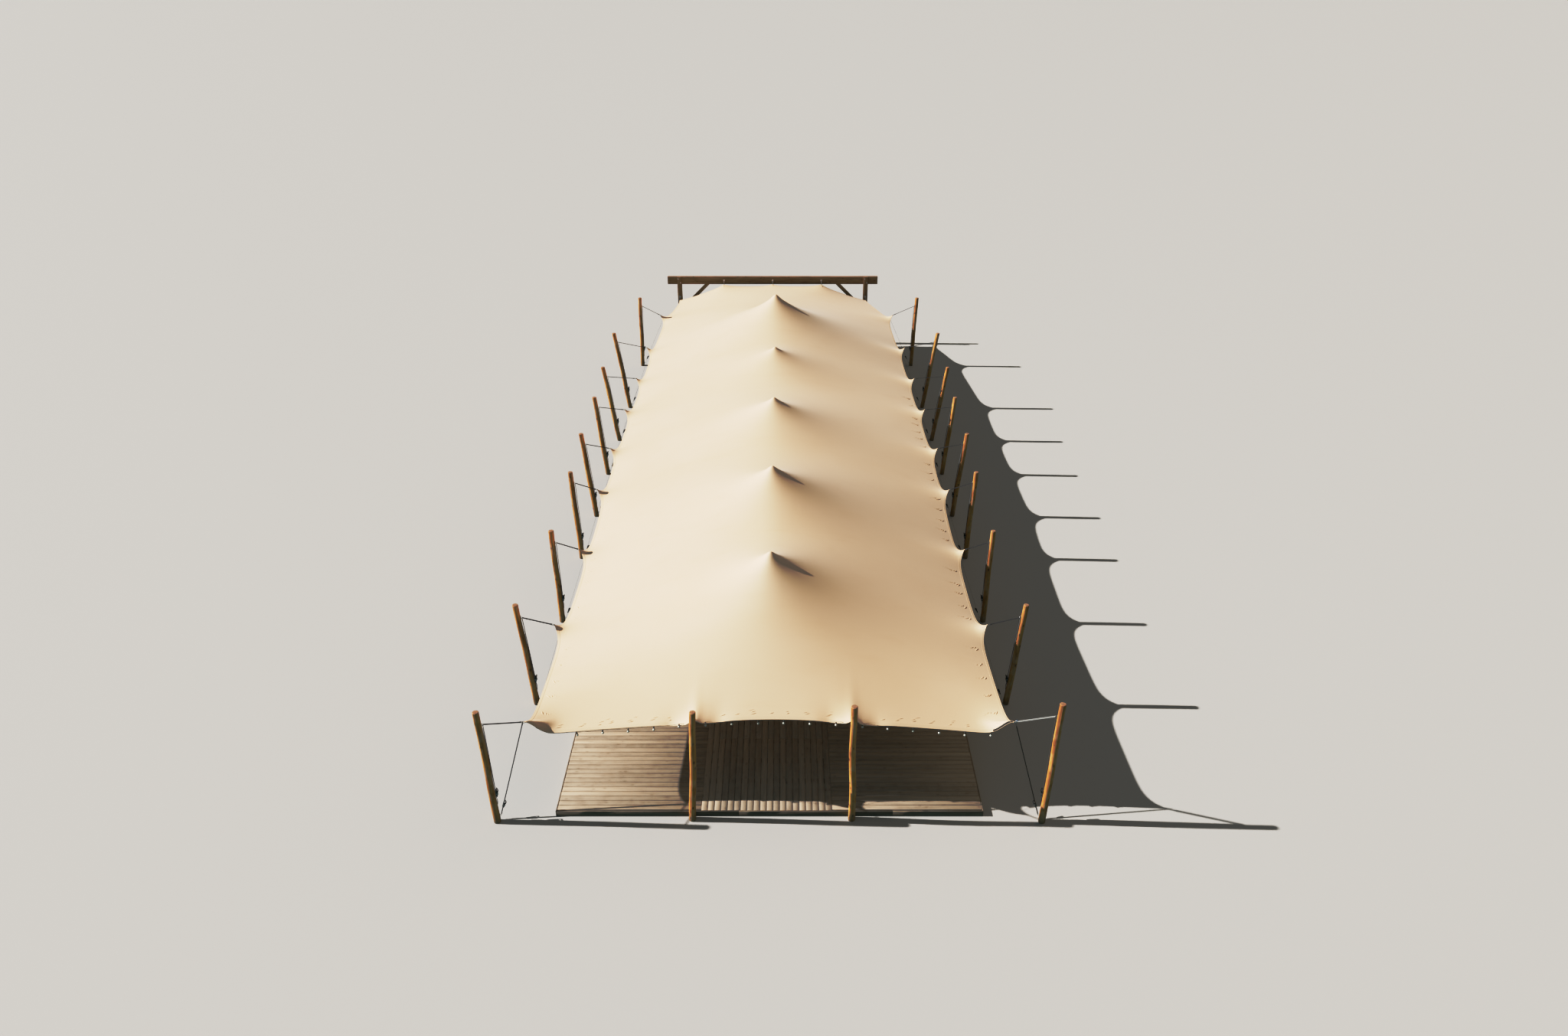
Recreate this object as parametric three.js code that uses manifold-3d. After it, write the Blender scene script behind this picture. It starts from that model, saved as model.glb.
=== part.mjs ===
// A stretch tent over a timber deck: one stretched fabric canopy on five centre poles, tied by webbing
// to two rows of leaning round timber posts, two front posts and a timber portal frame at the back.
// Millimetres, +Z up. The front faces -Y, the length runs along Y and the tent is centred on X = 0.
import * as THREE from "three";
import { mergeVertices } from "three/addons/utils/BufferGeometryUtils.js";
import Module from "manifold-3d";

const wasm = await Module();
wasm.setup();

const GAP = 0.3;

// Deck of boards on joists, as one block.
const DECK_WIDTH = 8340;
const DECK_FRONT = -13120;
const DECK_BACK = 13100;
const DECK_TOP = 130;

// Side stations from front to back. The post stands at postX, postY and its top leans outwards by lean.
// The canopy's nose, the pulled-out point that its strap holds, is at noseX, noseY, noseZ.
const STATIONS = [
  { postX: 5280, postY: -13265, lean: 60, height: 2710, noseX: 4620, noseY: -12800, noseZ: 2090 },
  { postX: 5220, postY: -9675, lean: 180, height: 2640, noseX: 4610, noseY: -9675, noseZ: 2120 },
  { postX: 5220, postY: -6485, lean: 20, height: 2600, noseX: 4590, noseY: -6485, noseZ: 2070 },
  { postX: 5220, postY: -3465, lean: 80, height: 2620, noseX: 4620, noseY: -3465, noseZ: 2090 },
  { postX: 5180, postY: -1125, lean: 220, height: 2630, noseX: 4600, noseY: -1125, noseZ: 2170 },
  { postX: 5220, postY: 1555, lean: 220, height: 2590, noseX: 4540, noseY: 1555, noseZ: 2180 },
  { postX: 5190, postY: 4025, lean: 350, height: 2580, noseX: 4480, noseY: 4025, noseZ: 2190 },
  { postX: 5170, postY: 6735, lean: 370, height: 2750, noseX: 4430, noseY: 6735, noseZ: 2220 },
  { postX: 5180, postY: 10765, lean: -60, height: 2690, noseX: 4380, noseY: 10765, noseZ: 2010 },
];
const RIGHT_CORNER_POST_HEIGHT = 2900;
const RIGHT_BACK_POST_LEAN = 80;
const POST_FOOT_RADIUS = 68;
const POST_TOP_RADIUS = 60;
const POST_SIDES = 12;

// Two posts in front of the deck hold the middle of the front hem. x is where each one stands, and
// noseX where its nose is.
const FRONT_POSTS = {
  left: { x: -1500, lean: 105, height: 2660, noseX: -1410 },
  right: { x: 1593, lean: -27, height: 2790, noseX: 1590 },
};
const FRONT_POST_Y = -13205;
const FRONT_NOSE = { y: -12965, z: 2270 };

// Centre poles with a base plate and a domed cap under each peak of the canopy.
const PEAKS = [
  { y: -9415, z: 3800 },
  { y: -5600, z: 3880 },
  { y: -1035, z: 3700 },
  { y: 3375, z: 3520 },
  { y: 6955, z: 4050 },
];
const CAP_SHOULDER_DROP = 80;
const POLE_RADIUS = 45;
const POLE_PLATE_RADIUS = 150;
const POLE_PLATE_THICKNESS = 12;
const POLE_SIDES = 16;

// Timber portal frame at the back: header beam, two notched posts and two knee braces. The frame and
// the back hem that is tied to it are centred on BACK_MIDDLE.
const BACK_MIDDLE = -170;
const BEAM_FRONT = 13235;
const BEAM_BACK = 13335;
const BEAM_BOTTOM = 2450;
const BEAM_TOP = 2750;
const BEAM_LENGTH = 8280;
const BACK_POST_X = 3675;
const BACK_POST_SIZE = 170;
const BRACE_LEG = 1100;
const BRACE_CUT = 170;
const BRACE_THICKNESS = 80;

// Canopy noses along the back hem: three tied to the beam and the two corners tied to the posts.
const BACK_TIE_X = 1920;
const BACK_NOSE = { y: 13035, z: 2500 };
const BACK_CORNER = { x: BACK_POST_X, y: 12935, z: 1890 };

// Canopy hem: each nose reaches out of the hem line and lifts it, and the hem sags in between.
const CANOPY_THICKNESS = 8;
const NOSE_REACH = 150;
const NOSE_LIFT = 220;
const NOSE_LENGTH = 230;
const CORNER_LIFT = 330;
const CORNER_LENGTH = 145;
const SCALLOP = 15;
const SCALLOP_SPAN = 3000;
const SIDE_HEM_RISE = 30;
const FRONT_SCALLOP = 80;
const FRONT_SIDE_SAG = -40;
const FRONT_MIDDLE_RISE = 40;
const BACK_SCALLOP = 30;

// Grid lines of the canopy's mesh, closer beside the peaks and the noses.
const WIDTH_LINES = {
  left: [0, 100, 320, 750, 1170, 1410, 1650, 2414, 3150, 3850, 4200, 4420, 4620],
  right: [0, 100, 320, 750, 1350, 1590, 1830, 2414, 3150, 3850, 4200, 4420, 4620],
};
const NEAR_NOSE = 130;
const BESIDE_NOSE = 400;
const NEAR_PEAK = 100;
const BESIDE_PEAK = 320;
const CLOSEST_ROWS = 80;
const LONGEST_STEP = 1150;

// The fabric's own tension beside the tension that its stretch adds, and the steps of its settling.
const SLACK_TENSION = 0.05;
const FIRST_SWEEPS = 900;
const STRETCH_ROUNDS = 60;
const STRETCH_SWEEPS = 60;
const STRETCH_SHARE = 0.35;
const SWEEP_FACTOR = 1.85;

// Strap sets: a shackle at the nose, webbing to an eye on the post, a run down the post to a ratchet
// and a slanted stay from under the canopy, a little inside the nose, to the foot of the post.
const WEBBING = { half: 20, thickness: 5 };
const SHACKLE = { length: 75, half: 13, height: 34 };
const EYE = { belowTop: 330, height: 70, depth: 24, half: 20 };
const RATCHET = { bottom: 600, top: 760, depth: 62, half: 34 };
const STAY_RATCHET = { bottom: 270, top: 400, depth: 44, half: 28 };
const STAY_FOOT_Z = 110;
const STAY_TOP_DROP = 22;
const STAY_INSET = 0.65;

// String of small lamps under the front hem.
const CABLE_SIZE = 8;
const CABLE_END = 4420;
const LAMP_FIRST = -3665;
const LAMP_SPACING = 492.5;
const LAMP_COUNT = 17;
const LAMP_RADIUS = 25;
const LAMP_DROP = 62;

const FINISHES = {
  canopy: { color: 0xe6d9c0, roughness: 0.85, metalness: 0 },
  roundTimber: { color: 0x9a6a3c, roughness: 0.8, metalness: 0 },
  sawnTimber: { color: 0x8a5f36, roughness: 0.8, metalness: 0 },
  deckTimber: { color: 0x9b8a74, roughness: 0.85, metalness: 0 },
  webbing: { color: 0x26282b, roughness: 0.8, metalness: 0 },
  steel: { color: 0xb9bcc0, roughness: 0.35, metalness: 1 },
  lamp: { color: 0xe9e4d8, roughness: 0.3, metalness: 0 },
};

const tent = new THREE.Group();

const mix = (a, b, t) => a + (b - a) * t;
const point = (x, y, z) => new THREE.Vector3(x, y, z);

function place(name, geometry, finish) {
  const mesh = new THREE.Mesh(geometry, new THREE.MeshStandardMaterial(FINISHES[finish]));
  mesh.name = name;
  tent.add(mesh);
}

function solidOf(geometry) {
  const bare = geometry.clone();
  bare.deleteAttribute("normal");
  bare.deleteAttribute("uv");
  const merged = mergeVertices(bare, 1e-3);
  return new wasm.Manifold(
    new wasm.Mesh({
      numProp: 3,
      vertProperties: new Float32Array(merged.attributes.position.array),
      triVerts: new Uint32Array(merged.index.array),
    }),
  );
}

function geometryOf(solid) {
  const { vertProperties, triVerts } = solid.getMesh();
  const geometry = new THREE.BufferGeometry();
  geometry.setAttribute("position", new THREE.BufferAttribute(vertProperties, 3));
  geometry.setIndex(new THREE.BufferAttribute(triVerts, 1));
  geometry.computeVertexNormals();
  return geometry;
}

function joined(geometries) {
  return geometryOf(geometries.map(solidOf).reduce((all, next) => all.add(next)));
}

function block(min, max) {
  const size = max.clone().sub(min);
  const middle = min.clone().add(max).multiplyScalar(0.5);
  return new THREE.BoxGeometry(size.x, size.y, size.z).translate(middle.x, middle.y, middle.z);
}

// A prism whose outline is drawn in a vertical plane: along is the plane's horizontal direction,
// start is where it begins, and the outline's points are [distance along, height].
function prism(outline, half, start, along) {
  const shape = new THREE.Shape(outline.map(([s, z]) => new THREE.Vector2(s, z)));
  const geometry = new THREE.ExtrudeGeometry(shape, { depth: 2 * half, bevelEnabled: false });
  const across = point(along.y, -along.x, 0);
  const origin = start.clone().addScaledVector(across, -half);
  origin.z = 0;
  const frame = new THREE.Matrix4().makeBasis(along, point(0, 0, 1), across).setPosition(origin);
  return geometry.applyMatrix4(frame);
}

// A square bar between two points.
function bar(from, to, size) {
  const middle = from.clone().add(to).multiplyScalar(0.5);
  const turn = new THREE.Quaternion().setFromUnitVectors(point(0, 0, 1), to.clone().sub(from).normalize());
  const geometry = new THREE.BoxGeometry(size, size, from.distanceTo(to));
  return geometry.applyQuaternion(turn).translate(middle.x, middle.y, middle.z);
}

// Posts

// One round post with a flat foot, a slight taper and a leaning top. One of its edges faces the tent.
function postGeometry(post) {
  const geometry = new THREE.CylinderGeometry(POST_TOP_RADIUS, POST_FOOT_RADIUS, post.height, POST_SIDES);
  geometry.rotateX(Math.PI / 2).translate(0, 0, post.height / 2);
  geometry.rotateZ(Math.atan2(post.facing.y, post.facing.x));
  const position = geometry.attributes.position;
  for (let i = 0; i < position.count; i++) {
    const lean = (post.lean * position.getZ(i)) / post.height;
    position.setX(i, position.getX(i) + post.x + lean);
    position.setY(i, position.getY(i) + post.y);
  }
  return geometry;
}

// Where the post's axis is at a height.
function axisAt(post, z) {
  return point(post.x + (post.lean * z) / post.height, post.y, 0);
}

// How far along its strap's direction the post's surface begins, at a height.
function surfaceAt(post, z) {
  const away = axisAt(post, z).sub(point(post.nose.x, post.nose.y, 0));
  return away.dot(post.along) - mix(POST_FOOT_RADIUS, POST_TOP_RADIUS, z / post.height);
}

// A post with the nose it holds. along points from the nose to the post, and facing back to the nose.
function makePost(name, foot, lean, height, nose) {
  const post = { name, x: foot.x, y: foot.y, lean, height, nose };
  post.eyeZ = height - EYE.belowTop;
  post.along = axisAt(post, post.eyeZ).sub(point(nose.x, nose.y, 0)).normalize();
  post.facing = post.along.clone().negate();
  return post;
}

const sidePosts = [];
for (const [side, sign] of [["left", -1], ["right", 1]]) {
  STATIONS.forEach((station, index) => {
    const number = index + 1;
    const isRight = side === "right";
    const height = isRight && number === 1 ? RIGHT_CORNER_POST_HEIGHT : station.height;
    const lean = isRight && number === STATIONS.length ? RIGHT_BACK_POST_LEAN : station.lean;
    const nose = point(sign * station.noseX, station.noseY, station.noseZ);
    const foot = point(sign * station.postX, station.postY, 0);
    const post = makePost(`${side}_post_${number}`, foot, sign * lean, height, nose);
    sidePosts.push({ number, side, ...post });
  });
}

const frontPosts = Object.entries(FRONT_POSTS).map(([side, { x, lean, height, noseX }]) => {
  const nose = point(noseX, FRONT_NOSE.y, FRONT_NOSE.z);
  return { side, ...makePost(`front_post_${side}`, point(x, FRONT_POST_Y, 0), lean, height, nose) };
});

for (const post of [...sidePosts, ...frontPosts]) place(post.name, postGeometry(post), "roundTimber");

// Canopy

// A hem bay from nose a to nose b. A nose has a root on the hem line, a tip that stands out of it and
// a length over which it fades into the hem.
function hemPoint(a, b, t, inward, scallop, rise) {
  const span = a.root.distanceTo(b.root);
  const arch = 4 * t * (1 - t);
  const spot = a.root.clone().lerp(b.root, t);
  spot.addScaledVector(a.tip.clone().sub(a.root), Math.exp((-t * span) / a.length));
  spot.addScaledVector(b.tip.clone().sub(b.root), Math.exp((-(1 - t) * span) / b.length));
  spot.addScaledVector(inward, scallop * arch);
  spot.z += rise * arch;
  return spot;
}

function makeNose(tip, reach, length = NOSE_LENGTH) {
  return { tip, root: tip.clone().sub(reach), length };
}

// Noses of the right-hand side hem, from the front corner to the back corner.
const sideNoses = STATIONS.map(({ noseX, noseY, noseZ }, index) => {
  const reach = point(index === 0 ? 60 : NOSE_REACH, 0, NOSE_LIFT);
  return makeNose(point(noseX, noseY, noseZ), reach);
});
const backCornerTip = point(BACK_CORNER.x, BACK_CORNER.y, BACK_CORNER.z);
sideNoses.push(makeNose(backCornerTip, point(40, 0, 40)));

// Noses of the front hem from left to right, and of the back hem from its middle to its corner.
const frontCorners = [-1, 1].map((sign) => {
  const { noseX, noseY, noseZ } = STATIONS[0];
  return makeNose(point(sign * noseX, noseY, noseZ), point(0, 0, CORNER_LIFT), CORNER_LENGTH);
});
const frontMiddles = frontPosts.map(({ nose }) => {
  return makeNose(nose, point(0, FRONT_NOSE.y - STATIONS[0].noseY, NOSE_LIFT));
});
const frontNoses = [frontCorners[0], ...frontMiddles, frontCorners[1]];
const backNoses = [0, BACK_TIE_X].map((x) => makeNose(point(x, BACK_NOSE.y, BACK_NOSE.z), point(0, 45, 60)));
backNoses.push(makeNose(backCornerTip, point(0, 35, 30)));

function frontHem(x) {
  const bay = frontMiddles.filter(({ tip }) => x > tip.x).length;
  const [a, b] = [frontNoses[bay], frontNoses[bay + 1]];
  const t = (x - a.tip.x) / (b.tip.x - a.tip.x);
  const rise = bay === 1 ? FRONT_MIDDLE_RISE : FRONT_SIDE_SAG;
  return hemPoint(a, b, t, point(0, 1, 0), FRONT_SCALLOP, rise);
}

function backHem(x) {
  const far = Math.abs(x);
  const [from, to] = far > BACK_TIE_X ? [backNoses[1], backNoses[2]] : [backNoses[0], backNoses[1]];
  const t = (far - from.tip.x) / (to.tip.x - from.tip.x);
  return hemPoint(from, to, t, point(0, -1, 0), BACK_SCALLOP, 0);
}

// Rows of the grid across the tent: one through each nose and peak, some close beside them, and the
// longer gaps filled.
const firstNose = sideNoses[0];
const lastNose = sideNoses[sideNoses.length - 1];
const rowPlaces = [...sideNoses.map(({ tip }) => tip.y), ...PEAKS.map(({ y }) => y)];

function addRows(places) {
  for (const y of places) {
    const inside = y > firstNose.tip.y && y < lastNose.tip.y;
    if (inside && rowPlaces.every((other) => Math.abs(other - y) >= CLOSEST_ROWS)) rowPlaces.push(y);
  }
}

addRows(PEAKS.flatMap(({ y }) => [y - NEAR_PEAK, y + NEAR_PEAK]));
addRows(sideNoses.flatMap(({ tip }) => [tip.y - NEAR_NOSE, tip.y + NEAR_NOSE]));
addRows(PEAKS.flatMap(({ y }) => [y - BESIDE_PEAK, y + BESIDE_PEAK]));
addRows(sideNoses.flatMap(({ tip }) => [tip.y - BESIDE_NOSE, tip.y + BESIDE_NOSE]));
rowPlaces.sort((p, q) => p - q);
const rowYs = [];
rowPlaces.forEach((y, index) => {
  const next = rowPlaces[index + 1] ?? y;
  const parts = Math.ceil((next - y) / LONGEST_STEP) || 1;
  for (let part = 0; part < parts; part++) rowYs.push(mix(y, next, part / parts));
});

// A row's hem point on the right-hand side, and how far it follows the front and back hems.
const rows = rowYs.map((y) => {
  const next = Math.max(sideNoses.findIndex(({ tip }) => tip.y >= y), 1);
  const [a, b] = [sideNoses[next - 1], sideNoses[next]];
  const length = b.tip.y - a.tip.y;
  const t = (y - a.tip.y) / length;
  const scallop = SCALLOP * (length / SCALLOP_SPAN) ** 2;
  const hem = hemPoint(a, b, t, point(-1, 0, 0), scallop, SIDE_HEM_RISE);
  return { y, hem, front: next === 1 ? (1 - t) ** 2 : 0, back: b === lastNose ? t ** 2 : 0 };
});

// The grid's spots, as [row][column]. Those on the hem and round a peak are held, and the rest wait at
// the hem's height.
const columns = [...WIDTH_LINES.left.slice(1).reverse().map((x) => -x), ...WIDTH_LINES.right];
const widest = STATIONS[0].noseX;
const lastRow = rows.length - 1;
const lastColumn = columns.length - 1;
const grid = rows.map((row, r) =>
  columns.map((line, c) => {
    const across = line / widest;
    const x = row.hem.x * across + row.back * BACK_MIDDLE;
    const front = frontHem(rows[0].hem.x * across);
    const back = backHem(rows[lastRow].hem.x * across);
    const y = row.y + row.front * (front.y - firstNose.tip.y) + row.back * (back.y - lastNose.tip.y);
    const spot = { at: point(x, y, row.hem.z), held: c === 0 || c === lastColumn };
    if (r === 0 || r === lastRow) {
      spot.at.z = (r === 0 ? front : back).z;
      spot.held = true;
    }
    for (const peak of PEAKS) {
      const away = Math.hypot(x, y - peak.y);
      if (away > NEAR_PEAK * 1.1) continue;
      spot.at.z = away < 1 ? peak.z : peak.z - CAP_SHOULDER_DROP;
      spot.held = true;
    }
    return spot;
  }),
);

// Triangles of the top face, mirrored about the tent's axis.
const spots = grid.flat();
const indexOf = (r, c) => r * columns.length + c;
const triangles = [];
for (let r = 0; r < lastRow; r++) {
  for (let c = 0; c < lastColumn; c++) {
    const corners = [indexOf(r, c), indexOf(r, c + 1), indexOf(r + 1, c + 1), indexOf(r + 1, c)];
    const [p, q, s, v] = corners;
    if (c < lastColumn / 2) triangles.push([p, q, s], [p, s, v]);
    else triangles.push([p, q, v], [q, s, v]);
  }
}

// The fabric settles as a stretchy sheet between its hem and its peaks. Each free spot goes to the mean
// of its neighbours, weighted by the angles of the triangles beside them and by how steep, and so how
// tight, those triangles are.
const neighbours = spots.map(() => new Map());

function steepness(corners) {
  const [a, b, c] = corners.map((i) => spots[i].at);
  const normal = b.clone().sub(a).cross(c.clone().sub(a));
  return Math.hypot(normal.x, normal.y) / normal.z;
}

function weighNeighbours(tensionOf) {
  neighbours.forEach((map) => map.clear());
  for (const corners of triangles) {
    const tension = tensionOf(corners);
    for (let i = 0; i < 3; i++) {
      const [a, b, c] = [corners[i], corners[(i + 1) % 3], corners[(i + 2) % 3]];
      const u = spots[a].at.clone().sub(spots[c].at).setZ(0);
      const v = spots[b].at.clone().sub(spots[c].at).setZ(0);
      const weight = (tension * u.dot(v)) / u.clone().cross(v).length();
      neighbours[a].set(b, (neighbours[a].get(b) ?? 0) + weight);
      neighbours[b].set(a, (neighbours[b].get(a) ?? 0) + weight);
    }
  }
}

function sweep(factor) {
  spots.forEach((spot, i) => {
    if (spot.held) return;
    let sum = 0;
    let total = 0;
    for (const [j, weight] of neighbours[i]) {
      sum += weight * spots[j].at.z;
      total += weight;
    }
    spot.at.z += factor * (sum / total - spot.at.z);
  });
}

weighNeighbours(() => 1);
for (let i = 0; i < FIRST_SWEEPS; i++) sweep(SWEEP_FACTOR);
for (let round = 0; round < STRETCH_ROUNDS; round++) {
  const before = spots.map(({ at }) => at.z);
  weighNeighbours((corners) => SLACK_TENSION + steepness(corners) ** 2);
  for (let i = 0; i < STRETCH_SWEEPS; i++) sweep(SWEEP_FACTOR);
  spots.forEach(({ at }, i) => {
    at.z = mix(before[i], at.z, STRETCH_SHARE);
  });
}

function canopyGeometry() {
  const under = spots.length;
  const position = [];
  for (const drop of [0, CANOPY_THICKNESS]) {
    for (const { at } of spots) position.push(at.x, at.y, at.z - drop);
  }
  const index = [];
  for (const [a, b, c] of triangles) {
    index.push(a, b, c);
    index.push(under + a, under + c, under + b);
  }
  const rim = [];
  for (let c = 0; c < lastColumn; c++) rim.push(indexOf(0, c));
  for (let r = 0; r < lastRow; r++) rim.push(indexOf(r, lastColumn));
  for (let c = lastColumn; c > 0; c--) rim.push(indexOf(lastRow, c));
  for (let r = lastRow; r > 0; r--) rim.push(indexOf(r, 0));
  rim.forEach((a, i) => {
    const b = rim[(i + 1) % rim.length];
    index.push(a, under + a, b, b, under + a, under + b);
  });
  const geometry = new THREE.BufferGeometry();
  geometry.setAttribute("position", new THREE.Float32BufferAttribute(position, 3));
  geometry.setIndex(index);
  geometry.computeVertexNormals();
  return geometry;
}

place("canopy", canopyGeometry(), "canopy");

// Straps

// A strip of webbing seen edge on, from one [distance, height] to another.
function strip(from, to, thickness) {
  const [run, fall] = [to[0] - from[0], to[1] - from[1]];
  const share = thickness / 2 / Math.hypot(run, fall);
  const across = [-fall * share, run * share];
  return [
    [from[0] - across[0], from[1] - across[1]],
    [to[0] - across[0], to[1] - across[1]],
    [to[0] + across[0], to[1] + across[1]],
    [from[0] + across[0], from[1] + across[1]],
  ];
}

// A pad that lies flat against the post between two heights.
function padOnPost(post, bottom, top, depth) {
  const low = surfaceAt(post, bottom) - GAP;
  const high = surfaceAt(post, top) - GAP;
  return [
    [low - depth, bottom],
    [low, bottom],
    [high, top],
    [high - depth, top],
  ];
}

// The shackle hangs on the tip of the nose.
function shackle(post) {
  const top = post.nose.z + SHACKLE.height / 2;
  return [
    [GAP, top - SHACKLE.height],
    [SHACKLE.length, top - SHACKLE.height],
    [SHACKLE.length, top],
    [GAP, top],
  ];
}

function tieParts(post) {
  const eye = [surfaceAt(post, post.eyeZ) - EYE.depth / 2, post.eyeZ];
  const start = [SHACKLE.length / 2, post.nose.z];
  const solid = (outline, half) => prism(outline, half, post.nose, post.along);
  return [
    solid(shackle(post), SHACKLE.half),
    solid(strip(start, eye, WEBBING.thickness), WEBBING.half),
    solid(padOnPost(post, post.eyeZ - EYE.height / 2, post.eyeZ + EYE.height / 2, EYE.depth), EYE.half),
  ];
}

// The stay's upper end: under the canopy inside its nose, or at the shackle of a front corner, as a
// distance along the strap's direction and a height.
function stayTopOf(post) {
  if (post.number === 1) return [SHACKLE.length / 2, post.nose.z - SHACKLE.height / 3];
  const row = grid[rows.findIndex(({ y }) => y === post.nose.y)];
  const [tip, inside] = post.side === "left" ? [0, 1] : [lastColumn, lastColumn - 1];
  const at = row[tip].at.clone().lerp(row[inside].at, STAY_INSET);
  return [Math.abs(at.x) - Math.abs(post.nose.x), at.z - CANOPY_THICKNESS - STAY_TOP_DROP];
}

function strapSet(post) {
  const solid = (outline, half) => prism(outline, half, post.nose, post.along);
  const footPad = padOnPost(post, STAY_FOOT_Z - EYE.height / 2, STAY_FOOT_Z + EYE.height / 2, EYE.depth);
  const stayTop = stayTopOf(post);
  const stayFoot = [surfaceAt(post, STAY_FOOT_Z) - EYE.depth / 2, STAY_FOOT_Z];
  const stayHeight = stayTop[1] - stayFoot[1];
  const onStay = (z) => [mix(stayTop[0], stayFoot[0], (stayTop[1] - z) / stayHeight), z];
  const [ratchetTop, ratchetFoot] = [onStay(STAY_RATCHET.top), onStay(STAY_RATCHET.bottom)];
  const stayRatchet = strip(ratchetTop, ratchetFoot, STAY_RATCHET.depth);
  return joined([
    ...tieParts(post),
    solid(padOnPost(post, STAY_FOOT_Z, post.eyeZ, WEBBING.thickness), WEBBING.half),
    solid(padOnPost(post, RATCHET.bottom, RATCHET.top, RATCHET.depth), RATCHET.half),
    solid(footPad, EYE.half),
    solid(strip(stayTop, stayFoot, WEBBING.thickness), WEBBING.half),
    solid(stayRatchet, STAY_RATCHET.half),
  ]);
}

for (const post of sidePosts) place(`${post.side}_strap_set_${post.number}`, strapSet(post), "webbing");
for (const post of frontPosts) place(`front_tie_${post.side}`, joined(tieParts(post)), "webbing");

// Centre poles

function centrePole(peakZ) {
  const capTop = peakZ - CANOPY_THICKNESS - GAP;
  const profile = [
    [0, DECK_TOP],
    [POLE_PLATE_RADIUS, DECK_TOP],
    [POLE_PLATE_RADIUS, DECK_TOP + POLE_PLATE_THICKNESS],
    [POLE_RADIUS, DECK_TOP + POLE_PLATE_THICKNESS],
    [POLE_RADIUS, capTop - 130],
    [50, capTop - 130],
    [50, capTop - 66],
    [28, capTop - 36],
    [0, capTop],
  ];
  const lathe = new THREE.LatheGeometry(profile.map(([r, z]) => new THREE.Vector2(r, z)), POLE_SIDES);
  return lathe.rotateX(Math.PI / 2);
}

PEAKS.forEach(({ y, z }, index) => {
  place(`centre_pole_${index + 1}`, centrePole(z).translate(0, y, 0), "roundTimber");
});

// Deck

const deckFoot = point(-DECK_WIDTH / 2, DECK_FRONT, 0);
place("deck", block(deckFoot, point(DECK_WIDTH / 2, DECK_BACK, DECK_TOP)), "deckTimber");

// Portal frame at the back

const frameY = point(0, 1, 0);
const halfPost = BACK_POST_SIZE / 2;
const postFront = BEAM_BACK - BACK_POST_SIZE;
const beamLow = point(BACK_MIDDLE - BEAM_LENGTH / 2, BEAM_FRONT, BEAM_BOTTOM);
const beamHigh = point(BACK_MIDDLE + BEAM_LENGTH / 2, BEAM_BACK, BEAM_TOP);
place("header_beam", block(beamLow, beamHigh), "sawnTimber");

for (const [side, sign] of [["left", -1], ["right", 1]]) {
  const notched = [
    [postFront, 0],
    [BEAM_BACK, 0],
    [BEAM_BACK, BEAM_BOTTOM],
    [BEAM_FRONT, BEAM_BOTTOM],
    [BEAM_FRONT, BEAM_TOP],
    [postFront, BEAM_TOP],
  ];
  const foot = point(BACK_MIDDLE + sign * BACK_POST_X, 0, 0);
  place(`back_post_${side}`, prism(notched, halfPost, foot, frameY), "sawnTimber");
  const face = BACK_POST_X - halfPost;
  const brace = [
    [face, BEAM_BOTTOM - BRACE_LEG],
    [face, BEAM_BOTTOM - BRACE_LEG + BRACE_CUT],
    [face - BRACE_LEG + BRACE_CUT, BEAM_BOTTOM],
    [face - BRACE_LEG, BEAM_BOTTOM],
  ];
  const braceY = (BEAM_FRONT + BEAM_BACK) / 2;
  const middle = point(BACK_MIDDLE, braceY, 0);
  const kneeBrace = prism(brace, BRACE_THICKNESS / 2, middle, point(sign, 0, 0));
  place(`knee_brace_${side}`, kneeBrace, "sawnTimber");
}

// Steel links that tie the back hem to the beam and the posts.
const LINK_SIZE = 16;
const LINK_EYE = { half: 12, depth: 24, height: 30 };
const LINK_PLATE = { half: 30, height: 70, thickness: 8 };
const BEAM_PLATE_Z = 2600;
const POST_PLATE_Z = 1960;

function link(nose, faceY, plateZ) {
  const back = faceY - GAP;
  const plateFront = back - LINK_PLATE.thickness;
  const eyeFront = nose.y + GAP;
  const barStart = point(nose.x, eyeFront + LINK_EYE.depth / 2, nose.z);
  const barEnd = point(nose.x, plateFront + LINK_PLATE.thickness / 2, plateZ);
  return joined([
    block(
      point(nose.x - LINK_EYE.half, eyeFront, nose.z - LINK_EYE.height / 2),
      point(nose.x + LINK_EYE.half, eyeFront + LINK_EYE.depth, nose.z + LINK_EYE.height / 2),
    ),
    bar(barStart, barEnd, LINK_SIZE),
    block(
      point(nose.x - LINK_PLATE.half, plateFront, plateZ - LINK_PLATE.height / 2),
      point(nose.x + LINK_PLATE.half, back, plateZ + LINK_PLATE.height / 2),
    ),
  ]);
}

for (const [name, sign] of [["left", -1], ["middle", 0], ["right", 1]]) {
  const nose = point(BACK_MIDDLE + sign * BACK_TIE_X, BACK_NOSE.y, BACK_NOSE.z);
  place(`beam_link_${name}`, link(nose, BEAM_FRONT, BEAM_PLATE_Z), "steel");
  if (sign === 0) continue;
  const corner = point(BACK_MIDDLE + sign * BACK_CORNER.x, BACK_CORNER.y, BACK_CORNER.z);
  place(`corner_link_${name}`, link(corner, postFront, POST_PLATE_Z), "steel");
}

// Light string

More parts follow.
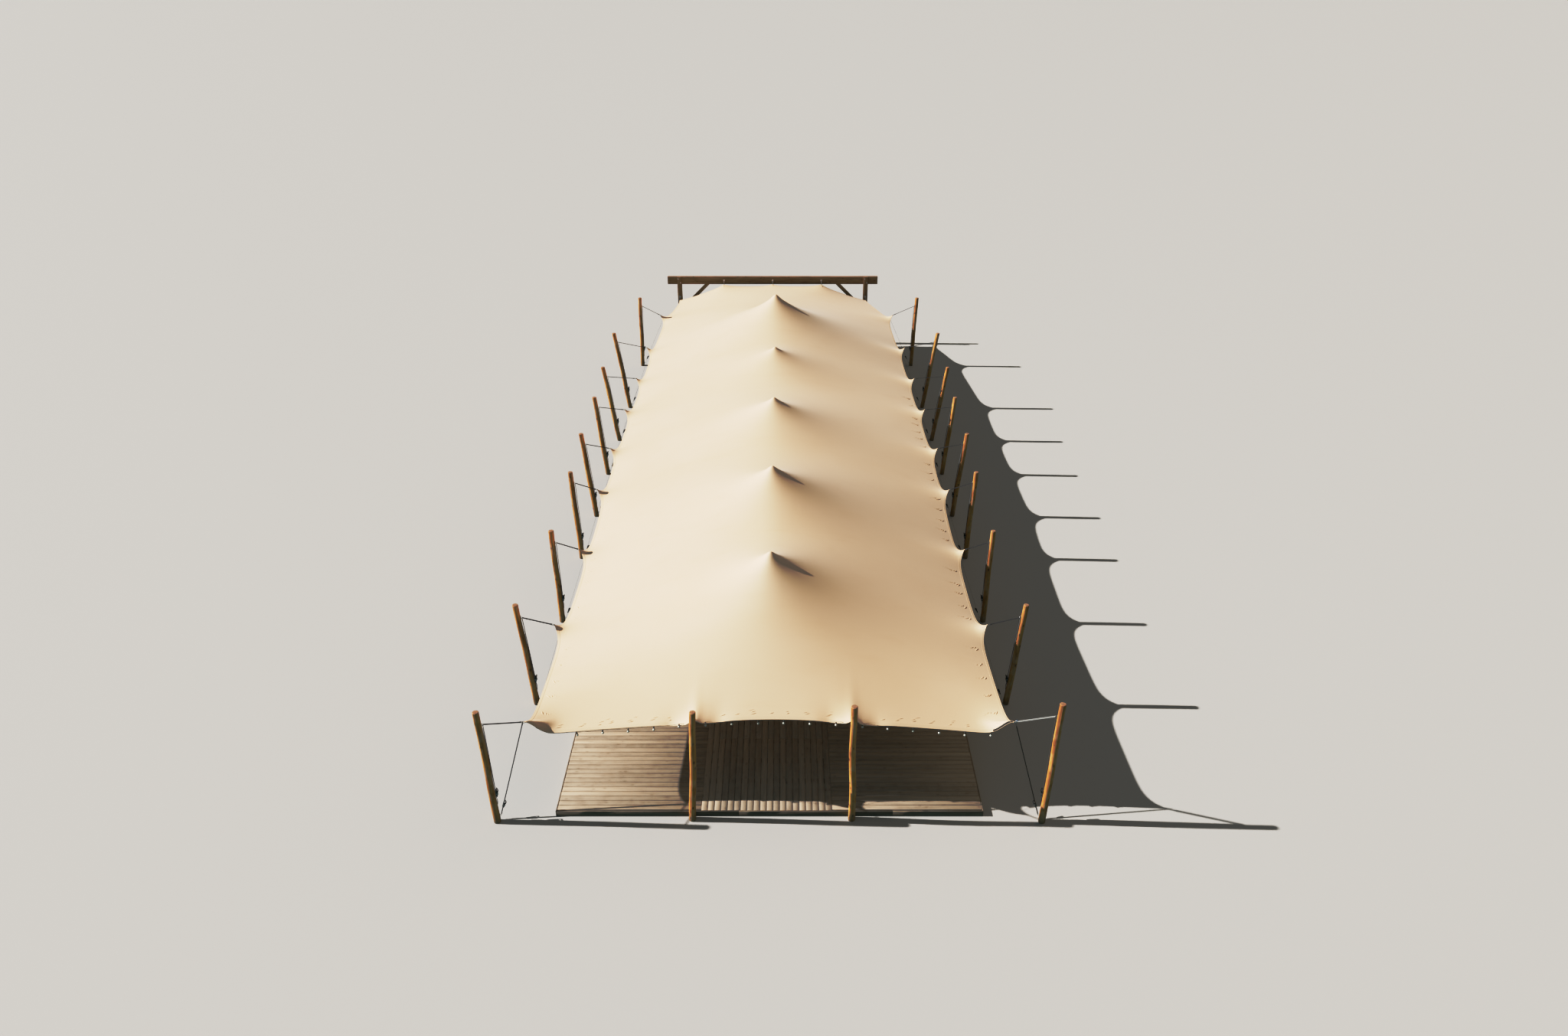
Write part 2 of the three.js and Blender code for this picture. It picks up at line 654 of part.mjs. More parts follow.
// The cable hangs before the hem's grid points and runs straight under the two noses of the front hem.
function lightString() {
  const halfCable = CABLE_SIZE / 2;
  const beforeHem = point(0, -halfCable - GAP, -CANOPY_THICKNESS - halfCable - GAP);
  const atNose = (x) => frontPosts.some(({ nose }) => Math.abs(nose.x - x) < 1);
  const route = grid[0]
    .filter(({ at }) => Math.abs(at.x) < CABLE_END + 1 && !atNose(at.x))
    .map(({ at }) => at.clone().add(beforeHem));
  const parts = [];
  for (let i = 0; i + 1 < route.length; i++) {
    const reach = route[i + 1].clone().sub(route[i]).setLength(CABLE_SIZE / 4);
    parts.push(bar(route[i].clone().sub(reach), route[i + 1].clone().add(reach), CABLE_SIZE));
  }
  for (let lamp = 0; lamp < LAMP_COUNT; lamp++) {
    const x = LAMP_FIRST + lamp * LAMP_SPACING;
    const next = route.findIndex((p) => p.x >= x);
    const [a, b] = [route[Math.max(next - 1, 0)], route[next]];
    const hang = a.clone().lerp(b, (x - a.x) / (b.x - a.x));
    const bulb = hang.clone().sub(point(0, 0, LAMP_DROP));
    parts.push(bar(hang, bulb, CABLE_SIZE * 1.5));
    const lampShape = new THREE.SphereGeometry(LAMP_RADIUS, 6, 4).rotateX(Math.PI / 2);
    parts.push(lampShape.translate(bulb.x, bulb.y, bulb.z));
  }
  return joined(parts);
}

place("light_string", lightString(), "lamp");

export default tent;
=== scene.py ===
# Looks of a stretch tent: fabric canopy, round posts, straps, boarded deck and the timber frame behind it.
# Metres, Z up. The open front faces -Y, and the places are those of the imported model.
import math

import bpy
import numpy as np
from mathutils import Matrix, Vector


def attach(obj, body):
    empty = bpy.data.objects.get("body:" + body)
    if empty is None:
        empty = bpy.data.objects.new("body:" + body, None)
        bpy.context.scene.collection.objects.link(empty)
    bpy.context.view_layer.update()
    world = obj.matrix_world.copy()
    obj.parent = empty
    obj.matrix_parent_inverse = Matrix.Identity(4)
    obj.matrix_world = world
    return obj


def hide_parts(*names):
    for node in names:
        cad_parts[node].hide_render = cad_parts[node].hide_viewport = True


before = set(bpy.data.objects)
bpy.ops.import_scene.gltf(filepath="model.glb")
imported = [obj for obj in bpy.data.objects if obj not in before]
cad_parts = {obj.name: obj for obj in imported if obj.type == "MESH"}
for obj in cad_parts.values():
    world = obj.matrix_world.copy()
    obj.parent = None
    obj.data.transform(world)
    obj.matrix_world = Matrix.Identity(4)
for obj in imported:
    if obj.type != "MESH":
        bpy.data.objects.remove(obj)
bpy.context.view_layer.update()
print("frame loaded:", len(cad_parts), "nodes")


# Small helpers for meshes

def unit(vector):
    vector = np.asarray(vector, float)
    return vector / np.linalg.norm(vector)


def mix(a, b, t):
    return a + (b - a) * t


# The vector, or its opposite where that is the one that points the given way
def towards(vector, way):
    return vector if vector @ way > 0 else -vector


def newShape():
    return {"points": [], "faces": [], "finish": [], "grain": [], "tone": [], "count": 0}


def put(shape, points, faces, finish=0, grain=None, tone=0.5):
    points = np.asarray(points, float)
    shape["points"].append(points)
    shape["faces"] += [tuple(int(i) + shape["count"] for i in face) for face in faces]
    shape["finish"] += [finish] * len(faces)
    shape["grain"].append(points if grain is None else np.asarray(grain, float))
    shape["tone"].append(np.broadcast_to(tone, len(points)))
    shape["count"] += len(points)


# looks names the finishes, and nodes the solids that the piece replaces. The grain is a point's place along
# the piece's own fibres, with z along them, and the tone is a board's own shade.
def makePiece(name, shape, looks, nodes=(), sharp=50):
    mesh = bpy.data.meshes.new(name)
    mesh.from_pydata(np.concatenate(shape["points"]).tolist(), [], shape["faces"])
    for look in looks.split():
        mesh.materials.append(finishes[look])
    mesh.polygons.foreach_set("material_index", shape["finish"])
    mesh.polygons.foreach_set("use_smooth", [True] * len(mesh.polygons))
    mesh.set_sharp_from_angle(angle=math.radians(sharp))
    for label, kind, field in (("grain", "FLOAT_VECTOR", "vector"), ("tone", "FLOAT", "value")):
        values = mesh.attributes.new(label, kind, "POINT")
        values.data.foreach_set(field, np.concatenate(shape[label]).astype(np.float32).ravel())
    mesh.update()
    piece = bpy.data.objects.new(name, mesh)
    bpy.context.scene.collection.objects.link(piece)
    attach(piece, "root")
    if nodes:
        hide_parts(*nodes)
    return piece


def circle(radius, sides):
    angle = np.arange(sides) / sides * 2 * np.pi
    return np.stack([radius * np.cos(angle), radius * np.sin(angle)], 1)


def roundedBox(width, height, corner, steps=2):
    outline = []
    for quarter, (sx, sy) in enumerate([(1, 1), (-1, 1), (-1, -1), (1, -1)]):
        for step in range(steps + 1):
            angle = (quarter + step / steps) * np.pi / 2
            outline.append((sx * (width / 2 - corner) + corner * np.cos(angle),
                            sy * (height / 2 - corner) + corner * np.sin(angle)))
    return np.array(outline)


# Faces between rings of points that follow one another, with their ends capped, open or joined
def ringFaces(rings, sides, capped=True, joined=False):
    faces = []
    for i in range(rings if joined else rings - 1):
        a, b = i * sides, (i + 1) % rings * sides
        faces += [(a + j, a + (j + 1) % sides, b + (j + 1) % sides, b + j) for j in range(sides)]
    if capped:
        faces += [tuple(range(sides - 1, -1, -1)), tuple(range((rings - 1) * sides, rings * sides))]
    return faces


# Levels and angles of a ring grid's points, with their directions
def ringGrid(levels, sides):
    angle = np.arange(sides) / sides * 2 * np.pi
    level, turn = np.stack(np.meshgrid(levels, angle, indexing="ij"), 2).reshape(-1, 2).T
    return level, turn, np.stack([np.cos(turn), np.sin(turn)], 1)


# Rings of an outline carried along a path. across fixes the outline's first direction.
def sweep(shape, path, outline, across=None, closed=False, finish=0, tone=0.5, seed=0.0):
    path, outline = np.asarray(path, float), np.asarray(outline, float)
    count = len(path)
    if outline.ndim == 2:
        outline = np.repeat(outline[None], count, 0)
    sides = outline.shape[1]
    step = np.roll(path, -1, 0) - path
    if closed:
        tangent = step + np.roll(step, 1, 0)
    else:
        step[-1] = step[-2]
        tangent = step + np.vstack([step[:1], step[:-1]])
    tangent /= np.linalg.norm(tangent, axis=1)[:, None]
    if across is None:
        helper = np.array([0, 0, 1.0]) if abs(tangent[0][2]) < 0.9 else np.array([1.0, 0, 0])
        side = [unit(np.cross(helper, tangent[0]))]
        for t in tangent[1:]:
            side.append(unit(side[-1] - np.dot(side[-1], t) * t))
        side = np.array(side)
    else:
        side = np.broadcast_to(np.asarray(across, float), path.shape)
        side = side - (side * tangent).sum(1)[:, None] * tangent
        side = side / np.linalg.norm(side, axis=1)[:, None]
    up = np.cross(tangent, side)
    points = path[:, None] + side[:, None] * outline[..., :1] + up[:, None] * outline[..., 1:]
    length = np.concatenate([[0], np.cumsum(np.linalg.norm(np.diff(path, axis=0), axis=1))])
    grain = np.concatenate([outline, np.broadcast_to(length[:, None, None], (count, sides, 1))], 2)
    put(shape, points.reshape(-1, 3), ringFaces(count, sides, not closed, closed), finish,
        grain.reshape(-1, 3) + seed, tone)


# A straight bar of rounded section with eased ends
def bar(shape, start, end, width, height, corner, across=None, finish=0, tone=0.5, seed=0.0, steps=2):
    start, end = np.asarray(start, float), np.asarray(end, float)
    along = unit(end - start) * corner
    inner = roundedBox(width, height, corner, steps)
    small = roundedBox(width - 1.4 * corner, height - 1.4 * corner, corner * 0.3, steps)
    sweep(shape, [start, start + along, end - along, end], [small, inner, inner, small],
          across, finish=finish, tone=tone, seed=seed)


# A turned form: profile of (radius, height) about an axis from base, from its foot to its top
def turned(shape, base, axis, profile, sides=16, finish=0):
    axis = unit(axis)
    helper = np.array([1.0, 0, 0]) if abs(axis[0]) < 0.9 else np.array([0, 1.0, 0])
    side = unit(np.cross(axis, helper))
    ring = circle(1, sides)
    spokes = ring[:, :1] * side + ring[:, 1:] * np.cross(axis, side)
    points = np.concatenate([base + axis * height + radius * spokes for radius, height in profile])
    put(shape, points, ringFaces(len(profile), sides), finish)


# A pin or barrel with eased ends
def rod(shape, base, axis, radius, length, endRadius, ease=0.001, sides=12, finish=0):
    profile = [(endRadius, 0), (radius, ease), (radius, length - ease), (endRadius, length)]
    turned(shape, base, axis, profile, sides, finish)


# A flat plate: a convex outline in the plane of u and v, with eased edges
def plate(shape, outline, origin, u, v, thickness, ease=0.0015, finish=0):
    outline = np.asarray(outline, float)
    u, v = unit(u), unit(v)
    middle = outline.mean(0)
    reach = np.linalg.norm(outline - middle, axis=1)[:, None]
    inset = middle + (outline - middle) * (1 - ease / reach)
    layers = [(inset, 0), (outline, ease), (outline, thickness - ease), (inset, thickness)]
    points = [origin + flat[:, :1] * u + flat[:, 1:] * v + np.cross(u, v) * depth for flat, depth in layers]
    grain = [np.insert(flat[:, ::-1], 1, depth, 1) for flat, depth in layers]
    put(shape, np.concatenate(points), ringFaces(4, len(outline)), finish, np.concatenate(grain))


def ringPath(centre, u, v, radius, count=20, start=0.0, end=2 * np.pi):
    angle = np.linspace(start, end, count, endpoint=end - start < 2 * np.pi)
    return centre + radius * (np.cos(angle)[:, None] * unit(u) + np.sin(angle)[:, None] * unit(v))


def wireRing(shape, centre, u, v, radius, wire, count=20, sides=8):
    sweep(shape, ringPath(centre, u, v, radius, count), circle(wire, sides), closed=True)


def hexHead(shape, base, axis, across, height):
    r = across / math.sqrt(3)
    turned(shape, base, axis, [(r, 0), (r, height * 0.85), (r * 0.9, height)], 6)


# A hexagon head on its washer
def boltHead(shape, base, axis, washer, across, height, thick=0.003):
    turned(shape, base, axis, [(washer, 0), (washer, thick * 0.7), (washer * 0.95, thick)], 20)
    hexHead(shape, base + unit(axis) * thick, axis, across, height)


# Smooth wander of a value over points, the same on every run
def wander(points, seed, size, amount, waves=6):
    dice = np.random.default_rng(seed)
    points = np.asarray(points, float)
    total = np.zeros(len(points))
    for _ in range(waves):
        direction = dice.normal(size=points.shape[1]) / size
        total += np.sin(points @ direction * 2 * np.pi + dice.uniform(0, 7))
    return amount * total / math.sqrt(waves)


# Shader helpers

def node(tree, kind, inputs=None, **settings):
    made = tree.nodes.new(kind)
    for key, value in settings.items():
        setattr(made, key, value)
    for key, value in (inputs or {}).items():
        if isinstance(value, bpy.types.NodeSocket):
            tree.links.new(value, made.inputs[key])
        else:
            made.inputs[key].default_value = value
    return made


def maths(tree, operation, a, b=0.0, clamp=False):
    return node(tree, "ShaderNodeMath", {0: a, 1: b}, operation=operation, use_clamp=clamp).outputs[0]


def times(tree, a, b):
    return maths(tree, "MULTIPLY", a, b)


def plus(tree, a, b, clamp=False):
    return maths(tree, "ADD", a, b, clamp)


def less(tree, a, b, clamp=False):
    return maths(tree, "SUBTRACT", a, b, clamp)


# One where the value is within so much of a level, and zero elsewhere
def nearLevel(tree, value, level, within):
    return spread(tree, maths(tree, "ABSOLUTE", less(tree, value, level)), 0.0, within, 1.0, 0.0)


def blended(tree, share, a, b):
    return node(tree, "ShaderNodeMix", {0: share, 6: a, 7: b}, data_type="RGBA").outputs[2]


def spread(tree, value, low, high, newLow=0.0, newHigh=1.0):
    inputs = {0: value, 1: low, 2: high, 3: newLow, 4: newHigh}
    return node(tree, "ShaderNodeMapRange", inputs, interpolation_type="SMOOTHSTEP").outputs[0]


def stretched(tree, vector, scale):
    return node(tree, "ShaderNodeMapping", {"Vector": vector, "Scale": scale}).outputs[0]


def noise(tree, vector, scale, detail=3.0, distortion=0.0):
    inputs = {"Vector": vector, "Scale": scale, "Detail": detail, "Distortion": distortion}
    return node(tree, "ShaderNodeTexNoise", inputs).outputs[0]


def cells(tree, vector, scale):
    return node(tree, "ShaderNodeTexVoronoi", {"Vector": vector, "Scale": scale}).outputs


def partsOf(tree, vector):
    return node(tree, "ShaderNodeSeparateXYZ", {0: vector}).outputs


def placeOf(tree):
    return node(tree, "ShaderNodeNewGeometry").outputs["Position"]


def grainOf(tree):
    return node(tree, "ShaderNodeAttribute", attribute_name="grain").outputs["Vector"]


def feed(tree, sockets, values):
    for name, value in values.items():
        tree.links.new(value, sockets[name])


skinOutputs = (("Color", "c"), ("Height", "f"), ("Roughness", "f"))


def newGroup(name, inputs, outputs=skinOutputs):
    tree = bpy.data.node_groups.new(name, "ShaderNodeTree")
    kinds = {"v": "NodeSocketVector", "c": "NodeSocketColor", "f": "NodeSocketFloat"}
    for label, kind, value in inputs:
        socket = tree.interface.new_socket(label, in_out="INPUT", socket_type=kinds[kind])
        if value is not None:
            socket.default_value = value
    for label, kind in outputs:
        tree.interface.new_socket(label, in_out="OUTPUT", socket_type=kinds[kind])
    return tree, tree.nodes.new("NodeGroupInput").outputs, tree.nodes.new("NodeGroupOutput").inputs


# Shared effects

# Growth streaks, fibres, knots and drying cracks of timber. Place runs along the fibres in z.
def woodFigureGroup():
    tree, given, out = newGroup("woodFigure", [
        ("Place", "v", None), ("Pale", "c", (0.5, 0.3, 0.15, 1)), ("Dark", "c", (0.25, 0.13, 0.06, 1)),
        ("Knot", "c", (0.1, 0.05, 0.025, 1)), ("Streak Scale", "f", 14.0), ("Knot Amount", "f", 1.0),
        ("Crack Amount", "f", 1.0), ("Fibre Amount", "f", 1.0)])
    place = given["Place"]
    streak = noise(tree, stretched(tree, place, (1, 1, 0.09)), given["Streak Scale"], 5, 0.6)
    fibre = noise(tree, stretched(tree, place, (1, 1, 0.02)), 190, 3)
    knotCell = cells(tree, stretched(tree, place, (8, 8, 4.2)), 1.0)["Distance"]
    knot = times(tree, spread(tree, knotCell, 0.09, 0.16, 1.0, 0.0), given["Knot Amount"])
    knotRing = spread(tree, knotCell, 0.14, 0.3, 1.0, 0.0)
    crack = nearLevel(tree, noise(tree, stretched(tree, place, (1, 1, 0.035)), 26, 2, 0.25), 0.56, 0.016)
    crackPatch = spread(tree, noise(tree, stretched(tree, place, (1, 1, 0.4)), 5, 1), 0.42, 0.58)
    crack = times(tree, times(tree, crack, crackPatch), given["Crack Amount"])
    figure = plus(tree, spread(tree, streak, 0.32, 0.7), times(tree, knotRing, 0.35), True)
    colour = blended(tree, figure, given["Pale"], given["Dark"])
    fine = times(tree, spread(tree, fibre, 0.35, 0.75, 0.0, 0.4), given["Fibre Amount"])
    colour = blended(tree, fine, colour, given["Dark"])
    colour = blended(tree, knot, colour, given["Knot"])
    colour = blended(tree, times(tree, crack, 0.85), colour, (0.03, 0.02, 0.015, 1))
    height = plus(tree, times(tree, streak, 0.45), times(tree, fibre, 0.3))
    height = less(tree, plus(tree, height, times(tree, knot, 0.3)), crack)
    roughness = spread(tree, fibre, 0.3, 0.8, 0.62, 0.88)
    feed(tree, out, {"Color": colour, "Height": height, "Roughness": roughness})
    return tree


# Splashed earth near the ground, and sun bleach on what faces up and in patches on the sides
def weatheringGroup():
    tree, given, out = newGroup("weathering", [
        ("Color", "c", None), ("Earth", "c", (0.2, 0.15, 0.1, 1)), ("Earth Height", "f", 0.35),
        ("Bleach", "c", (0.5, 0.46, 0.4, 1)), ("Bleach Amount", "f", 0.4), ("Side Bleach", "f", 0.0)],
        [("Color", "c")])
    geometry = node(tree, "ShaderNodeNewGeometry").outputs
    place, facing = geometry["Position"], partsOf(tree, geometry["Normal"])[2]
    patch = noise(tree, place, 6, 4)
    reach = maths(tree, "MAXIMUM", times(tree, given["Earth Height"], plus(tree, patch, 0.35)), 0.001)
    earth = less(tree, 1.0, maths(tree, "DIVIDE", partsOf(tree, place)[2], reach), True)
    earth = times(tree, earth, spread(tree, noise(tree, place, 45, 3), 0.3, 0.6, 0.35, 0.9))
    bleach = times(tree, spread(tree, facing, -0.2, 0.9), spread(tree, patch, 0.3, 0.65, 0.3, 1))
    sides = spread(tree, noise(tree, stretched(tree, place, (1, 1, 0.4)), 9, 3), 0.46, 0.62)
    bleach = maths(tree, "MAXIMUM", bleach, times(tree, sides, given["Side Bleach"]))
    colour = blended(tree, times(tree, bleach, given["Bleach Amount"]), given["Color"], given["Bleach"])
    feed(tree, out, {"Color": blended(tree, earth, colour, given["Earth"])})
    return tree


# Ribs of woven tape, with painted shade darkening the troughs between them. Place is across the tape in x and
# along it in z.
def wovenTapeGroup():
    tree, given, out = newGroup("wovenTape", [
        ("Place", "v", None), ("Color", "c", (0.03, 0.03, 0.03, 1)), ("Worn", "c", (0.12, 0.12, 0.12, 1)),
        ("Pitch", "f", 0.0022)])
    parts, pitch = partsOf(tree, given["Place"]), given["Pitch"]
    weave = None
    for part, size in ((parts[2], pitch), (parts[0], times(tree, pitch, 2.0))):
        turns = maths(tree, "DIVIDE", times(tree, part, 2 * math.pi), size)
        wave = times(tree, maths(tree, "SINE", turns), 0.5)
        weave = plus(tree, weave, wave) if weave else wave
    worn = spread(tree, noise(tree, given["Place"], 18, 4), 0.5, 0.75, 0.0, 0.6)
    colour = blended(tree, worn, given["Color"], given["Worn"])
    # Painted shade: the colour is darkened in the weave's troughs between the ribs
    colour = blended(tree, spread(tree, weave, -1, 1, 0.45, 0.0), colour, (0.01, 0.01, 0.01, 1))
    feed(tree, out, {"Color": colour, "Height": weave, "Roughness": spread(tree, weave, -1, 1, 0.9, 0.65)})
    return tree


# Zinc spangle, small scratches and dull patches on steel
def steelSkinGroup():
    tree, given, out = newGroup("steelSkin", [
        ("Color", "c", (0.6, 0.6, 0.6, 1)), ("Dull", "c", (0.35, 0.34, 0.33, 1)), ("Spangle", "f", 120.0)])
    place = placeOf(tree)
    spangle = cells(tree, place, given["Spangle"])["Color"]
    tint = node(tree, "ShaderNodeSeparateColor", {0: spangle}).outputs[0]
    patch = noise(tree, place, 30, 5, 0.4)
    scratch = noise(tree, stretched(tree, place, (1, 0.15, 1)), 600, 2)
    dull = plus(tree, spread(tree, patch, 0.45, 0.75, 0, 0.6), times(tree, tint, 0.3), True)
    feed(tree, out, {"Color": blended(tree, dull, given["Color"], given["Dull"]),
                     "Height": plus(tree, scratch, times(tree, patch, 0.6)),
                     "Roughness": plus(tree, times(tree, dull, 0.3), 0.25)})
    return tree


# Fine knit of the coated stretch fabric, with slow changes of shade where dust and sun have worked on it
def stretchKnitGroup():
    tree, given, out = newGroup("stretchKnit", [
        ("Place", "v", None), ("Color", "c", (0.7, 0.6, 0.42, 1)), ("Dusty", "c", (0.6, 0.52, 0.38, 1)),
        ("Loop", "f", 900.0)])
    place = given["Place"]
    cloud = noise(tree, place, 0.45, 4, 0.3)
    speck = noise(tree, place, 38, 5)
    streak = noise(tree, stretched(tree, place, (0.25, 1, 1)), 2.2, 4, 0.5)
    loops = cells(tree, place, given["Loop"])["Distance"]
    dusty = plus(tree, spread(tree, cloud, 0.35, 0.7, 0, 0.45), spread(tree, streak, 0.5, 0.8, 0, 0.3))
    dusty = plus(tree, dusty, spread(tree, speck, 0.55, 0.8, 0, 0.18), True)
    feed(tree, out, {"Color": blended(tree, dusty, given["Color"], given["Dusty"]),
                     "Height": plus(tree, times(tree, loops, 0.5), times(tree, speck, 0.6)),
                     "Roughness": spread(tree, speck, 0.3, 0.7, 0.62, 0.76)})
    return tree


effects = {"wood": woodFigureGroup(), "weather": weatheringGroup(), "tape": wovenTapeGroup(),
           "steel": steelSkinGroup(), "knit": stretchKnitGroup()}


# Materials

def newMaterial(name, roughness=0.7, metallic=0.0):
    material = bpy.data.materials.new(name)
    material.use_nodes = True
    shader = material.node_tree.nodes["Principled BSDF"]
    shader.inputs["Roughness"].default_value = roughness
    shader.inputs["Metallic"].default_value = metallic
    return material, material.node_tree, shader


def useEffect(tree, effect, inputs):
    inputs = {key: (*value, 1) if isinstance(value, tuple) else value for key, value in inputs.items()}
    return node(tree, "ShaderNodeGroup", inputs, node_tree=effects[effect]).outputs


def bumped(tree, shader, height, strength, distance):
    bump = node(tree, "ShaderNodeBump", {"Height": height, "Strength": strength, "Distance": distance})
    tree.links.new(bump.outputs[0], shader.inputs["Normal"])


def timberMaterial(name, pale, dark, knot, streakScale=14, knotAmount=1.0, crackAmount=1.0, fibreAmount=1.0,
                   toneShift=0.0, earthHeight=0.35, bleach=(0.5, 0.46, 0.4), bleachAmount=0.4, sideBleach=0.0,
                   bumpDepth=0.004):
    material, tree, shader = newMaterial(name)
    wood = useEffect(tree, "wood", {"Place": grainOf(tree), "Pale": pale, "Dark": dark, "Knot": knot,
                                    "Streak Scale": streakScale, "Knot Amount": knotAmount,
                                    "Crack Amount": crackAmount, "Fibre Amount": fibreAmount})
    colour = wood["Color"]
    if toneShift:
        tone = node(tree, "ShaderNodeAttribute", attribute_name="tone").outputs["Fac"]
        value = plus(tree, times(tree, less(tree, tone, 0.5), toneShift), 1.0)
        colour = node(tree, "ShaderNodeHueSaturation", {"Color": colour, "Value": value}).outputs[0]
    worn = useEffect(tree, "weather", {"Color": colour, "Earth Height": earthHeight, "Bleach": bleach,
                                       "Bleach Amount": bleachAmount, "Side Bleach": sideBleach})
    feed(tree, shader.inputs, {"Base Color": worn["Color"], "Roughness": wood["Roughness"]})
    bumped(tree, shader, wood["Height"], 0.8, bumpDepth)
    return material


# Year rings and splits on a log's cut end
def endGrainMaterial(name, pale, dark):
    material, tree, shader = newMaterial(name, 0.85)
    pale, dark = (*pale, 1), (*dark, 1)
    parts = partsOf(tree, grainOf(tree))
    flat = node(tree, "ShaderNodeCombineXYZ", {0: parts[0], 1: parts[1], 2: 0.0}).outputs[0]
    wobble = noise(tree, flat, 12, 3)
    distance = node(tree, "ShaderNodeVectorMath", {0: flat}, operation="LENGTH").outputs["Value"]
    rings = maths(tree, "SINE", times(tree, plus(tree, distance, times(tree, wobble, 0.02)), 900))
    angle = maths(tree, "ARCTAN2", parts[1], parts[0])
    ray = noise(tree, node(tree, "ShaderNodeCombineXYZ", {0: angle, 1: 0.0, 2: 0.0}).outputs[0], 2.6, 2)
    split = nearLevel(tree, ray, 0.55, 0.02)
    colour = blended(tree, spread(tree, rings, -1, 1, 0, 0.6), pale, dark)
    colour = blended(tree, spread(tree, wobble, 0.4, 0.7, 0, 0.5), colour, dark)
    colour = blended(tree, split, colour, (0.05, 0.03, 0.02, 1))
    tree.links.new(colour, shader.inputs["Base Color"])
    bumped(tree, shader, less(tree, times(tree, rings, 0.15), split), 0.8, 0.003)
    return material


# A material whose colour, roughness and bump all come from one effect
def skinMaterial(name, effect, inputs, strength, depth, roughness=0.8, metallic=0.0, place=None):
    material, tree, shader = newMaterial(name, roughness, metallic)
    skin = useEffect(tree, effect, {"Place": place(tree), **inputs} if place else inputs)
    feed(tree, shader.inputs, {"Base Color": skin["Color"], "Roughness": skin["Roughness"]})
    bumped(tree, shader, skin["Height"], strength, depth)
    return material


def tapeMaterial(name, colour, worn):
    return skinMaterial(name, "tape", {"Color": colour, "Worn": worn}, 0.6, 0.0008, place=grainOf)


def steelMaterial(name, colour, dull, metallic=1.0, spangle=120):
    inputs = {"Color": colour, "Dull": dull, "Spangle": spangle}
    return skinMaterial(name, "steel", inputs, 0.25, 0.0006, 0.3, metallic)


def fabricMaterial(name, colour, dusty, sheen=0.25, depth=0.0008):
    material = skinMaterial(name, "knit", {"Color": colour, "Dusty": dusty}, 0.5, depth, place=placeOf)
    inputs = material.node_tree.nodes["Principled BSDF"].inputs
    inputs["Sheen Weight"].default_value = sheen
    inputs["Sheen Roughness"].default_value = 0.5
    return material


def plasticMaterial(name, colour, roughness=0.4):
    material, tree, shader = newMaterial(name, roughness)
    scuff = noise(tree, placeOf(tree), 140, 4)
    darker = tuple(c * 0.7 for c in colour)
    skin = blended(tree, spread(tree, scuff, 0.45, 0.7), (*colour, 1), (*darker, 1))
    tree.links.new(skin, shader.inputs["Base Color"])
    bumped(tree, shader, scuff, 0.2, 0.0006)
    return material


finishes = {
    "canopy": fabricMaterial("canopyFabric", (0.80, 0.603, 0.442), (0.76, 0.558, 0.396)),
    "hem": fabricMaterial("hemFabric", (0.77, 0.59, 0.435), (0.70, 0.53, 0.375), 0.1, 0.0012),
    "log": timberMaterial("peeledLog", (0.80, 0.40, 0.11), (0.42, 0.165, 0.04), (0.10, 0.04, 0.015),
                          crackAmount=0.8, fibreAmount=0.6, toneShift=0.5,
                          bleach=(0.78, 0.58, 0.38), bleachAmount=0.5, sideBleach=0.6),
    "logEnd": endGrainMaterial("logEnd", (0.52, 0.33, 0.22), (0.32, 0.17, 0.10)),
    "sawn": timberMaterial("sawnFrame", (0.42, 0.25, 0.12), (0.25, 0.135, 0.06), (0.09, 0.045, 0.02),
                           streakScale=18, knotAmount=0.7, crackAmount=0.6, toneShift=0.5, bleachAmount=0.25,
                           bleach=(0.42, 0.3, 0.2), bumpDepth=0.003),
    "board": timberMaterial("deckBoard", (0.48, 0.39, 0.305), (0.355, 0.285, 0.22), (0.19, 0.125, 0.08),
                            streakScale=16, knotAmount=0.4, crackAmount=0.2, fibreAmount=0.3, toneShift=0.45,
                            earthHeight=0.0, bleach=(0.50, 0.43, 0.35), bleachAmount=0.4, bumpDepth=0.0012),
    "joist": timberMaterial("deckJoist", (0.26, 0.20, 0.13), (0.16, 0.12, 0.08), (0.08, 0.05, 0.03),
                            toneShift=0.4, bleachAmount=0.1),
    # Painted shade: the fascia's wood is darker than the boards', because the deck's edges stand in shade
    "fascia": timberMaterial("deckFasciaPaintedShade", (0.30, 0.23, 0.16), (0.19, 0.14, 0.095), (0.09, 0.055, 0.03),
                             streakScale=22, knotAmount=0.7, toneShift=0.4, earthHeight=0.09,
                             bleachAmount=0.25),
    "pole": timberMaterial("peeledPole", (0.56, 0.38, 0.2), (0.42, 0.26, 0.12), (0.2, 0.1, 0.05),
                           streakScale=10, knotAmount=0.5, crackAmount=0.3, earthHeight=0.0,
                           bleachAmount=0.15),
    "tape": tapeMaterial("darkTape", (0.028, 0.03, 0.034), (0.09, 0.09, 0.09)),
    "greyTape": tapeMaterial("greyTape", (0.42, 0.43, 0.42), (0.55, 0.54, 0.5)),
    "steel": steelMaterial("zincSteel", (0.66, 0.67, 0.68), (0.42, 0.42, 0.41)),
    "blackSteel": steelMaterial("ratchetSteel", (0.03, 0.03, 0.032), (0.07, 0.065, 0.06), 0.0, 60),
    "screw": steelMaterial("screwHead", (0.30, 0.27, 0.22), (0.16, 0.12, 0.09), 0.8, 400),
    "rubber": plasticMaterial("blackRubber", (0.025, 0.025, 0.027), 0.6),
    "blue": plasticMaterial("blueClip", (0.02, 0.2, 0.5), 0.35),
    "lamp": plasticMaterial("opalLamp", (0.86, 0.83, 0.74), 0.18),
    "cable": plasticMaterial("cableSleeve", (0.09, 0.085, 0.075), 0.5),
}
print("materials ready:", len(finishes))


